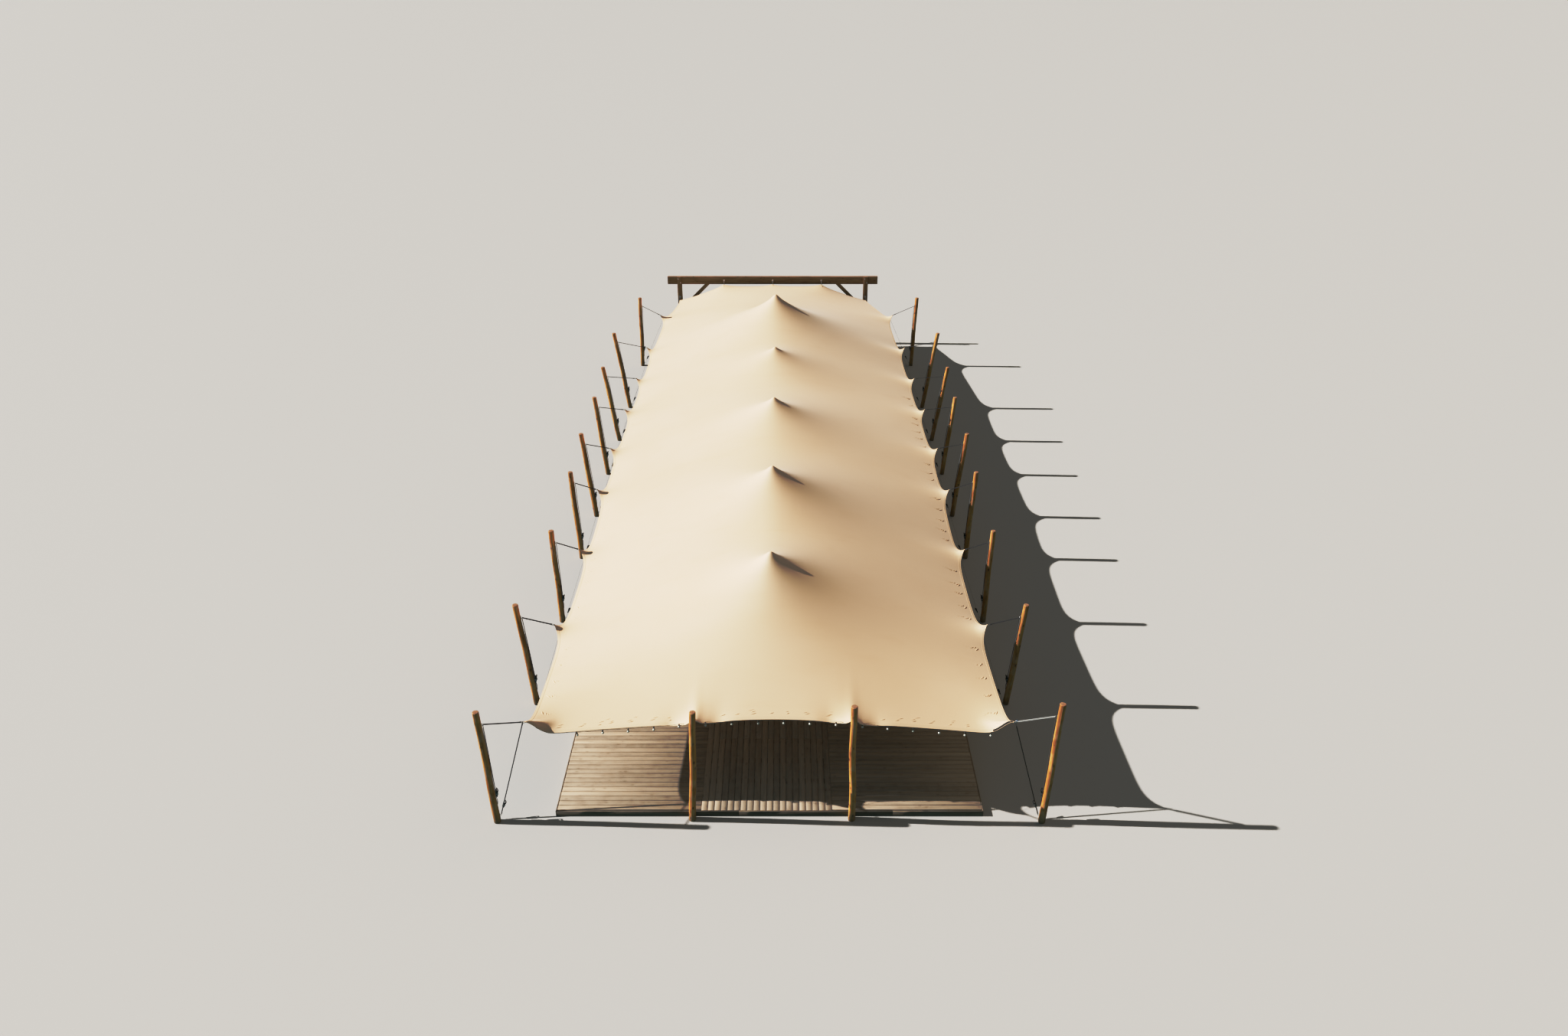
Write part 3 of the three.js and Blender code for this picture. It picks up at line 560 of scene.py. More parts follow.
# Places that the pieces share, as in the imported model

# Side stations from front to back: post x and y, outward lean of its top, height, and the nose it holds
stations = [
    (5.280, -13.265, 0.060, 2.710, (4.620, -12.800, 2.090)),
    (5.220, -9.675, 0.180, 2.640, (4.610, -9.675, 2.120)),
    (5.220, -6.485, 0.020, 2.600, (4.590, -6.485, 2.070)),
    (5.220, -3.465, 0.080, 2.620, (4.620, -3.465, 2.090)),
    (5.180, -1.125, 0.220, 2.630, (4.600, -1.125, 2.170)),
    (5.220, 1.555, 0.220, 2.590, (4.540, 1.555, 2.180)),
    (5.190, 4.025, 0.350, 2.580, (4.480, 4.025, 2.190)),
    (5.170, 6.735, 0.370, 2.750, (4.430, 6.735, 2.220)),
    (5.180, 10.765, -0.060, 2.690, (4.380, 10.765, 2.010)),
]
corner = stations[0][4]
rightCornerPostHeight = 2.900
rightBackPostLean = 0.080

# Front posts: x of the foot, lean of the top, height and x of the nose. They and their noses share y and z.
frontPosts = {"left": (-1.500, 0.105, 2.660, -1.410), "right": (1.593, -0.027, 2.790, 1.590)}
frontPostY = -13.205
frontNose = (-12.965, 2.270)
peaks = [(-9.415, 3.800), (-5.600, 3.880), (-1.035, 3.700), (3.375, 3.520), (6.955, 4.050)]
backMiddle = -0.170
backTieX = 1.920
backNose = (13.035, 2.500)
backCorner = (3.675, 12.935, 1.890)


# Canopy

canopy = {
    "noseReach": 0.150, "noseLift": 0.220, "noseLength": 0.230, "cornerLift": 0.330, "cornerLength": 0.270,
    "frontLength": 0.250, "noseDip": 0.20, "foldReach": 0.62, "foldWidth": 0.075, "foldHeight": 0.055,
    "flankStart": 0.12, "flankEnd": 0.32, "flankDrop": 0.13, "flankReach": 0.28,
    "scallop": 0.015, "scallopSpan": 3.0, "sideRise": 0.030,
    "frontScallop": 0.080, "frontSideSag": -0.040, "frontMiddleRise": 0.040, "backScallop": 0.030,
    "thickness": 0.003, "bandThickness": 0.0022, "bandCells": 2, "ropeRadius": 0.007, "ropeDrop": 0.003,
    "slack": 0.05, "capRadius": 0.100, "capSlope": 0.9, "capRound": 0.020, "flat": (9.1, 25.0),
    "flatArea": 217.0,
}

# The fabric settles on a coarse grid first. Each grid has close lines at these distances from a peak, a nose,
# the hem's ends and a corner, with the rounds of settling, the sweeps in each, and the share taken over.
coarseGrid = {"rowStep": 0.42, "rowGap": 0.08, "lineStep": 0.6, "lineGap": 0.05, "peak": (0.10, 0.32),
              "nose": (0.13, 0.40), "hem": (), "frontNose": (0.24,), "corner": (0.20, 0.42),
              "rounds": 46, "sweeps": 40, "share": 0.4}
hemLines = (0, 0.022, 0.05, 0.085, 0.125, 0.17, 0.22, 0.28, 0.35, 0.43, 0.52, 0.62)
noseLines = (0.03, 0.065, 0.105, 0.15, 0.21, 0.28)
fineGrid = {"rowStep": 0.085, "rowGap": 0.018, "lineStep": 0.13, "lineGap": 0.012,
            "peak": (0.025, 0.05, 0.075, 0.1, 0.14, 0.19, 0.25), "nose": noseLines, "hem": hemLines,
            "frontNose": noseLines, "corner": hemLines, "rounds": 8, "sweeps": 45, "share": 0.5}


# One at zero, falling away smoothly on both sides
def bell(x):
    return np.exp(-x ** 2)


# A nose fades into the hem at once, or it is broad, with a dip of that share beyond its flank.
def fade(away, length, dip):
    if dip is None:
        return np.exp(-away / length)
    return bell(away / length) - dip * bell((away / length - 1.65) / 0.6)


# The hem between two noses: an arch drawn inwards and raised, with each nose fading into it
def hemBay(a, b, t, inward, scallop, rise):
    t = np.atleast_1d(t)[:, None]
    span = np.linalg.norm(b[0] - a[0])
    arch = 4 * t * (1 - t)
    spot = a[0] + (b[0] - a[0]) * t
    for (root, tip, length, dip), away in ((a, t * span), (b, (1 - t) * span)):
        spot = spot + (tip - root) * fade(away, length, dip)
    return spot + np.asarray(inward, float) * scallop * arch + np.array([0, 0, rise]) * arch


# A nose: its root on the hem line, its tip, the length over which it fades into the hem, and its dip
def nose(tip, back, length=canopy["noseLength"], dip=None):
    tip = np.asarray(tip, float)
    return tip - np.asarray(back, float), tip, length, dip


lift = canopy["noseLift"]
sideNoses = [nose(s[4], (0.060, 0, lift) if i == 0 else (canopy["noseReach"], 0, lift))
             for i, s in enumerate(stations)] + [nose(backCorner, (0.040, 0, 0.040))]
frontNoses = [nose((x, *frontNose), (0, frontNose[0] - corner[1], lift), canopy["frontLength"],
                   canopy["noseDip"]) for _, _, _, x in frontPosts.values()]
for end, sign in ((0, -1), (3, 1)):
    tip = (sign * corner[0], *corner[1:])
    frontNoses.insert(end, nose(tip, (0, 0, canopy["cornerLift"]), canopy["cornerLength"], 0.0))
backNoses = [nose((x, *backNose), (0, 0.045, 0.060)) for x in (0, backTieX)]
backNoses.append(nose(backCorner, (0, 0.035, 0.030)))
noseYs = [tip[1] for _, tip, _, _ in sideNoses]
noseXs = [tip[0] for _, tip, _, _ in frontNoses]
peakYs = [y for y, _ in peaks]


# The right-hand hem's points for places y, and how far each row follows the front and back hems
def sideHem(y):
    bay = np.clip(np.searchsorted(noseYs, y, side="left"), 1, len(noseYs) - 1)
    points, front, back = np.zeros((len(y), 3)), np.zeros(len(y)), np.zeros(len(y))
    for b in range(1, len(noseYs)):
        own = bay == b
        length = noseYs[b] - noseYs[b - 1]
        t = (y[own] - noseYs[b - 1]) / length
        scallop = canopy["scallop"] * (length / canopy["scallopSpan"]) ** 2
        points[own] = hemBay(sideNoses[b - 1], sideNoses[b], t, (-1, 0, 0), scallop, canopy["sideRise"])
        if b == 1:
            front[own] = (1 - t) ** 2
        if b == len(noseYs) - 1:
            back[own] = t ** 2
    return points, front, back


def frontHem(x):
    bay = np.clip(np.searchsorted(noseXs, x, side="left"), 1, len(noseXs) - 1)
    spots = np.zeros((len(x), 3))
    for b in range(1, len(noseXs)):
        own = bay == b
        t = (x[own] - noseXs[b - 1]) / (noseXs[b] - noseXs[b - 1])
        rise = canopy["frontMiddleRise"] if b == 2 else canopy["frontSideSag"]
        spots[own] = hemBay(frontNoses[b - 1], frontNoses[b], t, (0, 1, 0), canopy["frontScallop"], rise)
    return spots


def backHem(x):
    far = np.abs(x)
    a, b, c = backNoses
    outer = hemBay(b, c, (far - b[1][0]) / (c[1][0] - b[1][0]), (0, -1, 0), canopy["backScallop"], 0)
    inner = hemBay(a, b, far / b[1][0], (0, -1, 0), canopy["backScallop"], 0)
    return np.where((far > b[1][0])[:, None], outer, inner)


# Grid lines through all the fixed places, with closer lines beside some of them
def gridLines(fixed, near, step, closest):
    lines = sorted(fixed)
    for spot, offsets in near:
        for offset in offsets:
            for y in (spot - offset, spot + offset):
                if min(fixed) < y < max(fixed) and min(abs(y - other) for other in lines) > closest:
                    lines.append(y)
    lines = sorted(lines)
    full = []
    for a, b in zip(lines, lines[1:]):
        parts = max(1, math.ceil((b - a) / step - 1e-6))
        full += [mix(a, b, i / parts) for i in range(parts)]
    return np.array(full + [lines[-1]])


def rowsAndLines(grid):
    near = [(y, grid["peak"]) for y in peakYs] + [(y, grid["nose"]) for y in noseYs]
    near += [(y, grid["hem"]) for y in (noseYs[0], noseYs[-1])]
    rows = gridLines(noseYs + peakYs, near, grid["rowStep"], grid["rowGap"])
    near = [(0, grid["peak"])] + [(x, grid["frontNose"]) for x in noseXs[1:3]]
    near += [(x, grid["corner"]) for x in (noseXs[0], noseXs[3])]
    return rows, gridLines(noseXs + [0], near, grid["lineStep"], grid["lineGap"])


# Places of the grid's points, with the free ones waiting at the hem's height, and which are held
def canopyGrid(rows, lines):
    hem, front, back = sideHem(rows)
    across = lines / corner[0]
    frontLine, backLine = frontHem(hem[0][0] * across), backHem(hem[-1][0] * across)
    x = hem[:, :1] * across + back[:, None] * backMiddle
    y = rows[:, None] + front[:, None] * (frontLine[:, 1] - rows[0])
    y = y + back[:, None] * (backLine[:, 1] - rows[-1])
    z = np.repeat(hem[:, 2:], len(lines), 1)
    z[0], z[-1] = frontLine[:, 2], backLine[:, 2]
    held = np.zeros(x.shape, bool)
    held[[0, -1]] = held[:, [0, -1]] = True
    for peakY, peakZ in peaks:
        away = np.hypot(x, y - peakY)
        near = away < canopy["capRadius"] * 1.02
        drop = np.hypot(away * canopy["capSlope"], canopy["capRound"]) - canopy["capRound"]
        z[near] = peakZ - drop[near]
        held |= near
    return np.stack([x, y, z], 2), held


# Two triangles for each cell, with their shared edges mirrored in the ridge
def gridTriangles(rowCount, lines):
    index = np.arange(rowCount * len(lines)).reshape(rowCount, len(lines))
    p, q, v, s = index[:-1, :-1], index[:-1, 1:], index[1:, :-1], index[1:, 1:]
    left = np.broadcast_to(lines[:-1] < -1e-6, p.shape)
    first = np.where(left[..., None], np.stack([p, q, s], 2), np.stack([p, q, v], 2))
    second = np.where(left[..., None], np.stack([p, s, v], 2), np.stack([q, s, v], 2))
    return np.concatenate([first.reshape(-1, 3), second.reshape(-1, 3)])


# The fabric settles as a stretchy sheet: the steeper a triangle is, the tighter it pulls.
def settle(points, held, lines, grid, fresh=False):
    shape = points.shape
    triangles = gridTriangles(shape[0], lines)
    points, free = points.reshape(-1, 3).copy(), ~held.ravel()
    flat = points[triangles][..., :2]
    edges, cots = [], []
    for i in range(3):
        a, b, c = flat[:, i], flat[:, (i + 1) % 3], flat[:, (i + 2) % 3]
        u, v = a - c, b - c
        edges.append(triangles[:, [i, (i + 1) % 3]])
        cots.append((u * v).sum(1) / np.abs(u[:, 0] * v[:, 1] - u[:, 1] * v[:, 0]))
    edges, cots = np.concatenate(edges), np.concatenate(cots)
    size = len(points)
    for turn in range(grid["rounds"]):
        plain = fresh and turn == 0
        a, b, c = (points[triangles[:, i]] for i in range(3))
        normal = np.cross(b - a, c - a)
        steep = (normal[:, 0] ** 2 + normal[:, 1] ** 2) / normal[:, 2] ** 2
        tension = np.ones(len(steep)) if plain else canopy["slack"] + steep
        weight = np.tile(tension, 3) * cots
        i, j = edges.T
        total = np.bincount(i, weight, size) + np.bincount(j, weight, size)

        def pull(z):
            return total * z - np.bincount(i, weight * z[j], size) - np.bincount(j, weight * z[i], size)

        z = points[:, 2].copy()
        rest = np.where(free, -pull(z), 0)
        guess = rest / total
        heading = guess.copy()
        old = rest @ guess
        for _ in range(grid["sweeps"] * (6 if plain else 1)):  # conjugate gradients
            moved = np.where(free, pull(heading), 0)
            length = old / (heading @ moved)
            z += length * heading
            rest -= length * moved
            guess = rest / total
            new = rest @ guess
            if new < 1e-12:
                break
            heading = guess + heading * (new / old)
            old = new
        points[:, 2] = mix(points[:, 2], z, 1.0 if plain else grid["share"])
    return points.reshape(shape)


# Heights of a settled coarse grid, read at a finer grid's lines
def finerHeights(rows, lines, coarseRows, coarseLines, coarse):
    alongRows = np.stack([np.interp(rows, coarseRows, coarse[:, c, 2]) for c in range(len(coarseLines))], 1)
    return np.stack([np.interp(lines, coarseLines, row) for row in alongRows])


# A fold runs inwards from each front corner, and the fabric drops away on both sides of each front nose.
def frontFolds(points):
    for sign in (-1, 1):
        inward = unit([-sign * 0.86, 0.51])
        offset = points[..., :2] - [sign * corner[0], corner[1]]
        along, across = offset @ inward, offset @ [-inward[1], inward[0]]
        share = np.clip(along / canopy["foldReach"], 0, 1)
        rise = canopy["foldHeight"] * np.sin(np.pi * share ** 0.7) * bell(across / canopy["foldWidth"])
        points[1:, 1:-1, 2] += rise[1:, 1:-1]
    for x in noseXs[1:3]:
        aside, inside = np.abs(points[..., 0] - x), np.abs(points[..., 1] - frontNose[0])
        flank = (1 - bell(aside / canopy["flankStart"])) * bell(aside / canopy["flankEnd"])
        points[..., 2] -= canopy["flankDrop"] * flank * np.exp(-inside / canopy["flankReach"])
    return points


def settleCanopy():
    coarseRows, coarseLines = rowsAndLines(coarseGrid)
    coarse = settle(*canopyGrid(coarseRows, coarseLines), coarseLines, coarseGrid, fresh=True)
    rows, lines = rowsAndLines(fineGrid)
    points, held = canopyGrid(rows, lines)
    heights = finerHeights(rows, lines, coarseRows, coarseLines, coarse)
    points[..., 2] = np.where(held, points[..., 2], heights)
    return frontFolds(settle(points, held, lines, fineGrid)), rows, lines


points, rows, lines = settleCanopy()
normals = np.cross(np.gradient(points, axis=1), np.gradient(points, axis=0))
normals /= np.linalg.norm(normals, axis=2)[..., None]
rowCount, lineCount = points.shape[:2]
print("canopy settled:", rowCount, "rows,", lineCount, "lines, top", round(points[..., 2].max(), 3))


# Places and normals on the settled fabric, for a row place y and a line of the grid
def onCanopy(y, line):
    y, line = np.broadcast_arrays(np.atleast_1d(y).astype(float), np.atleast_1d(line).astype(float))
    r = np.clip(np.searchsorted(rows, y, side="right") - 1, 0, rowCount - 2)
    c = np.clip(np.searchsorted(lines, line, side="right") - 1, 0, lineCount - 2)
    s = ((y - rows[r]) / (rows[r + 1] - rows[r]))[:, None]
    t = ((line - lines[c]) / (lines[c + 1] - lines[c]))[:, None]
    place, normal = (mix(mix(field[r, c], field[r, c + 1], t),
                         mix(field[r + 1, c], field[r + 1, c + 1], t), s) for field in (points, normals))
    return place, normal / np.linalg.norm(normal, axis=1)[:, None]


# A closed skin over the grid cells in the mask, from so far above the fabric's top to so far below it
def clothShell(mask, above, below, grain):
    index = np.arange(rowCount * lineCount).reshape(rowCount, lineCount)
    used = np.zeros((rowCount, lineCount), bool)
    for dr in (0, 1):
        for dc in (0, 1):
            used[dr:rowCount - 1 + dr, dc:lineCount - 1 + dc] |= mask
    new = -np.ones(rowCount * lineCount, int)
    size = int(used.sum())
    new[used.ravel()] = np.arange(size)
    a, b, c, d = index[:-1, :-1], index[:-1, 1:], index[1:, 1:], index[1:, :-1]
    quads = new[np.stack([a[mask], b[mask], c[mask], d[mask]], 1)]
    faces = quads.tolist() + (quads[:, ::-1] + size).tolist()
    wide = np.pad(mask, 1)
    for (dr, dc), (start, end) in {(-1, 0): (a, b), (0, 1): (b, c), (1, 0): (c, d), (0, -1): (d, a)}.items():
        edge = mask & ~wide[1 + dr:rowCount + dr, 1 + dc:lineCount + dc]
        p, q = new[start[edge]], new[end[edge]]
        faces += np.stack([p, p + size, q + size, q], 1).tolist()
    shape = newShape()
    skins = [points[used] + normals[used] * above, points[used] - normals[used] * below]
    put(shape, np.concatenate(skins), faces, 0, np.tile(grain[used], (2, 1)))
    return shape


# How far each grid point is from the nearest hem, and how far along that hem
def hemPlaces():
    stepX = np.linalg.norm(np.diff(points, axis=1), axis=2)
    stepY = np.linalg.norm(np.diff(points, axis=0), axis=2)
    fromLeft = np.pad(np.cumsum(stepX, 1), ((0, 0), (1, 0)))
    fromFront = np.pad(np.cumsum(stepY, 0), ((1, 0), (0, 0)))
    away = np.stack([fromLeft, fromLeft[:, -1:] - fromLeft, fromFront, fromFront[-1:] - fromFront])
    along = np.where(away.argmin(0) < 2, fromFront, fromLeft)
    return np.stack([away.min(0), np.zeros_like(along), along], 2)


everywhere = np.ones((rowCount - 1, lineCount - 1), bool)
beside = ~np.pad(everywhere[:-2 * canopy["bandCells"], :-2 * canopy["bandCells"]], canopy["bandCells"])
sheet = clothShell(everywhere, 0.0, canopy["thickness"], points)
canopyPiece = makePiece("canopySheet", sheet, "canopy", ["canopy"])
band = clothShell(beside, canopy["bandThickness"], canopy["thickness"] + 0.002, hemPlaces())
canopyTrim = [makePiece("hemBand", band, "hem")]
rope = newShape()
hemLoop = np.concatenate([points[0, :-1], points[:-1, -1], points[-1, :0:-1], points[:0:-1, 0]])
sweep(rope, hemLoop - [0, 0, canopy["ropeDrop"]], circle(canopy["ropeRadius"], 8), closed=True)
canopyTrim.append(makePiece("hemRope", rope, "hem", sharp=80))


# Small folds beside the hem: rows of slanted strokes that run inwards, and pairs along the front hem
puckers = {"spacing": 0.50, "inset": 0.17, "step": 0.050, "most": 8, "first": 0.105, "last": 0.022,
           "slant": 0.85, "width": 0.024, "height": 0.009, "lastY": 3.0, "fromNose": 0.30, "shrink": 0.16,
           "frontSpacing": 0.34, "frontInset": 0.115, "frontLength": 0.12, "frontFromNose": 0.38,
           "frontStep": 0.045, "frontSlant": 0.22, "seed": 11}


def foldOnCanopy(shape, ys, lineValues, size):
    spots, normal = onCanopy(ys, lineValues)
    share = np.sin(np.linspace(0.02, 0.98, len(spots)) * np.pi)[:, None, None]
    lens = circle(1, 8)[None] * np.array([puckers["width"] / 2, puckers["height"]]) * share * size
    sweep(shape, spots, lens, np.cross(np.gradient(spots, axis=0), normal))


def buildPuckers():
    shape = newShape()
    dice = np.random.default_rng(puckers["seed"])
    part = np.linspace(-0.5, 0.5, 7)
    for side in (-1, 1):
        for y in np.arange(rows[0] + 0.5, puckers["lastY"], puckers["spacing"]):
            y += dice.uniform(-0.08, 0.08)
            if min(abs(y - noseY) for noseY in noseYs) < puckers["fromNose"]:
                continue
            count = dice.integers(3, puckers["most"])
            for n in range(count):
                length = mix(puckers["first"], puckers["last"], math.sqrt(n / count)) * dice.uniform(0.8, 1.2)
                slant = puckers["slant"] * dice.uniform(0.5, 1.3)
                away = puckers["inset"] + n * puckers["step"] + dice.uniform(-0.014, 0.014)
                ys = y + dice.uniform(-0.03, 0.03) + part * length
                xs = side * (corner[0] - away + part * length * slant)
                foldOnCanopy(shape, ys, xs, max(0.35, 1 - puckers["shrink"] * n))
    for x in np.arange(-4.0, 4.01, puckers["frontSpacing"]):
        x += dice.uniform(-0.09, 0.09)
        if min(abs(x - noseX) for noseX in noseXs) < puckers["frontFromNose"]:
            continue
        for n in range(dice.integers(1, 4)):
            length = puckers["frontLength"] * dice.uniform(0.6, 1.1)
            depth = puckers["frontInset"] + n * puckers["frontStep"] + dice.uniform(-0.01, 0.02)
            ys = rows[0] + depth + part * length * puckers["frontSlant"]
            foldOnCanopy(shape, ys, x + n * dice.uniform(-0.04, 0.08) + part * length, 0.8 - 0.15 * n)
    return makePiece("hemPuckers", shape, "hem", sharp=60)


canopyTrim.append(buildPuckers())
print("canopy made")


# Round posts

log = {"sides": 44, "rings": 60, "footRadius": 0.068, "topRadius": 0.060, "eyeDrop": 0.330,
       "crook": 0.010, "flute": 0.0016, "swell": 0.0012, "knots": 7, "knotHeight": 0.006, "knotSize": 0.035,
       "checkDepth": 0.006, "footEase": 0.003, "topEase": 0.006, "topDark": 0.45, "knotDark": 0.9,
       "endDome": 0.0015, "endRim": 0.0012, "endRings": (1.0, 0.93, 0.62, 0.3), "seed": 40}


def makePost(name, foot, lean, height, noseTip, crook=1.0):
    post = {"name": name, "foot": np.array([*foot, 0.0]), "lean": lean, "height": height, "crook": crook,
            "nose": np.array(noseTip, float), "eyeZ": height - log["eyeDrop"],
            "seed": log["seed"] + sum(map(ord, name))}
    flat = axisAt(post, post["eyeZ"]) - post["nose"]
    post["along"] = unit([flat[0], flat[1], 0])
    post["across"] = np.array([-post["along"][1], post["along"][0], 0])
    return post


def axisAt(post, z):
    return post["foot"] + np.array([post["lean"] * z / post["height"], 0, z])


# How far from the nose, along the strap, the post's face is at a height
def faceAt(post, z):
    radius = mix(log["footRadius"], log["topRadius"], z / post["height"])
    return float((axisAt(post, z) - post["nose"]) @ post["along"]) - radius


# A point beside the post's face, so far out of it, at height z
def byPost(post, z, out=0.0):
    spot = post["nose"] + post["along"] * (faceAt(post, z) - out)
    return np.array([spot[0], spot[1], z])


# Radius and shade of a log's skin: flutes, knots and one drying check towards the top
def logSkin(post, dice, z, angle, around):
    height, seed = post["height"], post["seed"]
    radius = mix(log["footRadius"], log["topRadius"], z / height)
    radius = radius + wander(np.column_stack([around * 0.5, z * 0.12]), seed, 0.35, log["flute"])
    radius = radius + wander(z[:, None], seed + 1, 0.9, log["swell"])
    shade = np.full(len(z), dice.uniform(0.3, 0.8)) - log["topDark"] * np.exp((z - height) / 0.10)
    for _ in range(log["knots"]):
        knotZ, knotAngle = dice.uniform(0.25, height - 0.15), dice.uniform(0, 2 * np.pi)
        turn = np.angle(np.exp(1j * (angle - knotAngle))) * radius
        away = np.hypot(turn, (z - knotZ) * 0.6) / (log["knotSize"] * dice.uniform(0.6, 1.1))
        bump = bell(away) - 0.55 * bell(away * 2.6)
        radius = radius + log["knotHeight"] * dice.uniform(0.5, 1.0) * bump
        shade = shade - log["knotDark"] * bell(away * 1.6)
    checkAngle = dice.uniform(0, 2 * np.pi)
    turn = np.angle(np.exp(1j * (angle - checkAngle - wander(z[:, None], seed + 2, 1.5, 0.12))))
    reach = 1 / (1 + np.exp(-(z - height * dice.uniform(0.35, 0.6)) / 0.08))
    radius = radius - log["checkDepth"] * bell(turn / 0.1) * reach
    radius = radius - log["topEase"] * (z >= height - 0.001) - log["footEase"] * (z <= 0.001)
    return radius, shade


# A log's cut top, slightly domed inside its rim
def logEnd(shape, rim, seed):
    dome = [0, 0, log["endDome"]]
    centre = rim.mean(0) + dome
    rings = [centre + (rim - centre) * share + [0, 0, log["endRim"] * (share < 1)]
             for share in log["endRings"]]
    capPoints = np.vstack([*rings, [centre + dome]])
    sides, last = len(rim), len(rings) * len(rim)
    faces = ringFaces(len(rings), sides, capped=False)
    faces += [(last - sides + j, last - sides + (j + 1) % sides, last) for j in range(sides)]
    put(shape, capPoints, faces, 1, (capPoints - centre) * [1, 1, 0] + [0, 0, seed])


def buildPost(post):
    dice = np.random.default_rng(post["seed"])
    sides, height, seed = log["sides"], post["height"], post["seed"]
    levels = [0, *np.linspace(0.012, height - 0.014, log["rings"]), height - 0.006, height]
    z, angle, around = ringGrid(levels, sides)
    radius, shade = logSkin(post, dice, z, angle, around)
    bend = np.sin(np.pi * np.clip(z / height, 0, 1)) * log["crook"] * post["crook"]
    bend = bend[:, None] * np.stack([np.sin(z * 2.1 + seed), np.cos(z * 1.7 + seed)], 1)
    local = np.column_stack([around * radius[:, None] + bend, z])
    place = local + post["foot"] + np.outer(z / height, [post["lean"], 0, 0])
    shape = newShape()
    skin = ringFaces(len(levels), sides)[:-1]
    put(shape, place, skin, 0, local + dice.uniform(-9, 9, 3), shade)
    logEnd(shape, place[-sides:], seed)
    first, *rest = post["name"].split("_")
    name = first + "".join(word.capitalize() for word in rest) + "Log"
    makePiece(name, shape, "log logEnd", [post["name"]], sharp=60)


posts = []
for side, sign in (("left", -1), ("right", 1)):
    for number, (x, y, lean, height, tip) in enumerate(stations, 1):
        if side == "right" and number == 1:
            height = rightCornerPostHeight
        if side == "right" and number == len(stations):
            lean = rightBackPostLean
        tip = np.array(tip) * [sign, 1, 1]
        post = makePost(f"{side}_post_{number}", (sign * x, y), sign * lean, height, tip)
        post.update(side=side, number=number)
        posts.append(post)
tiePosts = []
for side, (x, lean, height, noseX) in frontPosts.items():
    crook = 1.0 if side == "left" else 2.2
    post = makePost(f"front_post_{side}", (x, frontPostY), lean, height, (noseX, *frontNose), crook)
    post.update(side=side)
    tiePosts.append(post)
for post in posts + tiePosts:
    buildPost(post)
print("posts made:", len(posts + tiePosts))


# Straps, shackles, ratchets and eyes

strap = {"width": 0.036, "thickness": 0.0028, "greyWidth": 0.024, "wire": 0.0045, "pinOut": 0.006,
         "shackleLength": 0.068, "shackleHalf": 0.015, "laneShift": 0.031, "laneThickness": 0.002,
         "ratchetZ": 0.680, "ratchetTop": 0.075, "tailStart": 0.62, "tailEnd": 0.40, "tailWave": 0.010,
         "stayRatchetZ": 0.335, "stayRatchetSize": 0.8, "stayFootZ": 0.110, "stayInset": 0.13}
eyePlate = {"width": 0.034, "height": 0.086, "thick": 0.004, "ring": 0.016, "wire": 0.0035, "screwAt": 0.33}

# A ratchet in its own frame: x across the strap, y out of it and z along it. Pins have a place, a radius,
# a length, an end radius, an ease and sides, and bars two ends, a width, a thickness, an ease and a finish.
ratchet = {
    "cheek": ((-0.078, 0.003), (0.060, 0.003), (0.078, 0.012), (0.078, 0.028), (0.025, 0.044),
              (-0.020, 0.044), (-0.078, 0.020)),
    "thick": 0.003, "cheekX": 0.028, "wheelX": 0.033, "wheelY": 0.024, "teeth": 26, "tip": 0.0215,
    "root": 0.0175,
    "drum": (-0.021, 0.024, 0, 0.0175, 0.042, 0.0165, 0.001, 20),
    "pins": ((-0.041, 0.024, 0, 0.0095, 0.082, 0.007, 0.002, 16),
             (-0.031, 0.012, -0.062, 0.0055, 0.062, 0.004, 0.001, 12),
             (-0.031, 0.012, 0.062, 0.0055, 0.062, 0.004, 0.001, 12)),
    "bars": (((-0.0355, 0.020, -0.012), (-0.0355, 0.050, 0.086), 0.004, 0.020, 0.0015, 1),
             ((0.0355, 0.020, -0.012), (0.0355, 0.050, 0.086), 0.004, 0.020, 0.0015, 1),
             ((0, 0.036, 0.028), (0, 0.040, 0.052), 0.046, 0.003, 0.001, 0),
             ((0, 0.003, -0.074), (0, 0.003, 0.056), 0.050, 0.003, 0.001, 1)),
    "grip": ((-0.038, 0.050, 0.088), (0.038, 0.050, 0.088), 0.022, 0.013, 0.005, 2),
}


def tapeOutline(width, thickness=strap["thickness"]):
    return roundedBox(width, thickness, thickness * 0.45, 1)


def spotsBetween(a, b, count):
    return [mix(a, b, t) for t in np.linspace(0, 1, count)]


# A shackle lying flat: its pin is at the start, its bow at the end, and side is the way the pin points.
def shackleAt(shape, start, along, side, length=strap["shackleLength"], half=strap["shackleHalf"],
              wire=strap["wire"]):
    along, side, up = unit(along), unit(side), np.array([0, 0, 1.0])
    bow = ringPath(start + along * (length - half * 1.25), side, along, half * 1.25, 12, 0.0, np.pi)
    neck = along * 0.012
    sweep(shape, [start + side * half * 0.92, start + side * half + neck, *bow, start - side * half + neck,
                  start - side * half * 0.92], circle(wire, 8))
    for sign in (-1, 1):
        turned(shape, start + side * sign * (half + wire * 1.2), side * -sign,
               [(wire * 1.1, 0), (wire * 2.1, 0.001), (wire * 2.1, wire * 2.2), (wire * 1.1, wire * 2.5)], 14)
    long = 2 * half + wire * 4.4
    turned(shape, start - side * (half + wire * 2.2), side,
           [(wire * 0.9, 0), (wire, 0.001), (wire, long), (wire * 0.9, long + wire * 0.2)], 12)
    head = start + side * (half + wire * 3.2) - np.cross(side, up) * 0.0015
    plate(shape, circle(wire * 2.0, 12), head, up, side, 0.003)


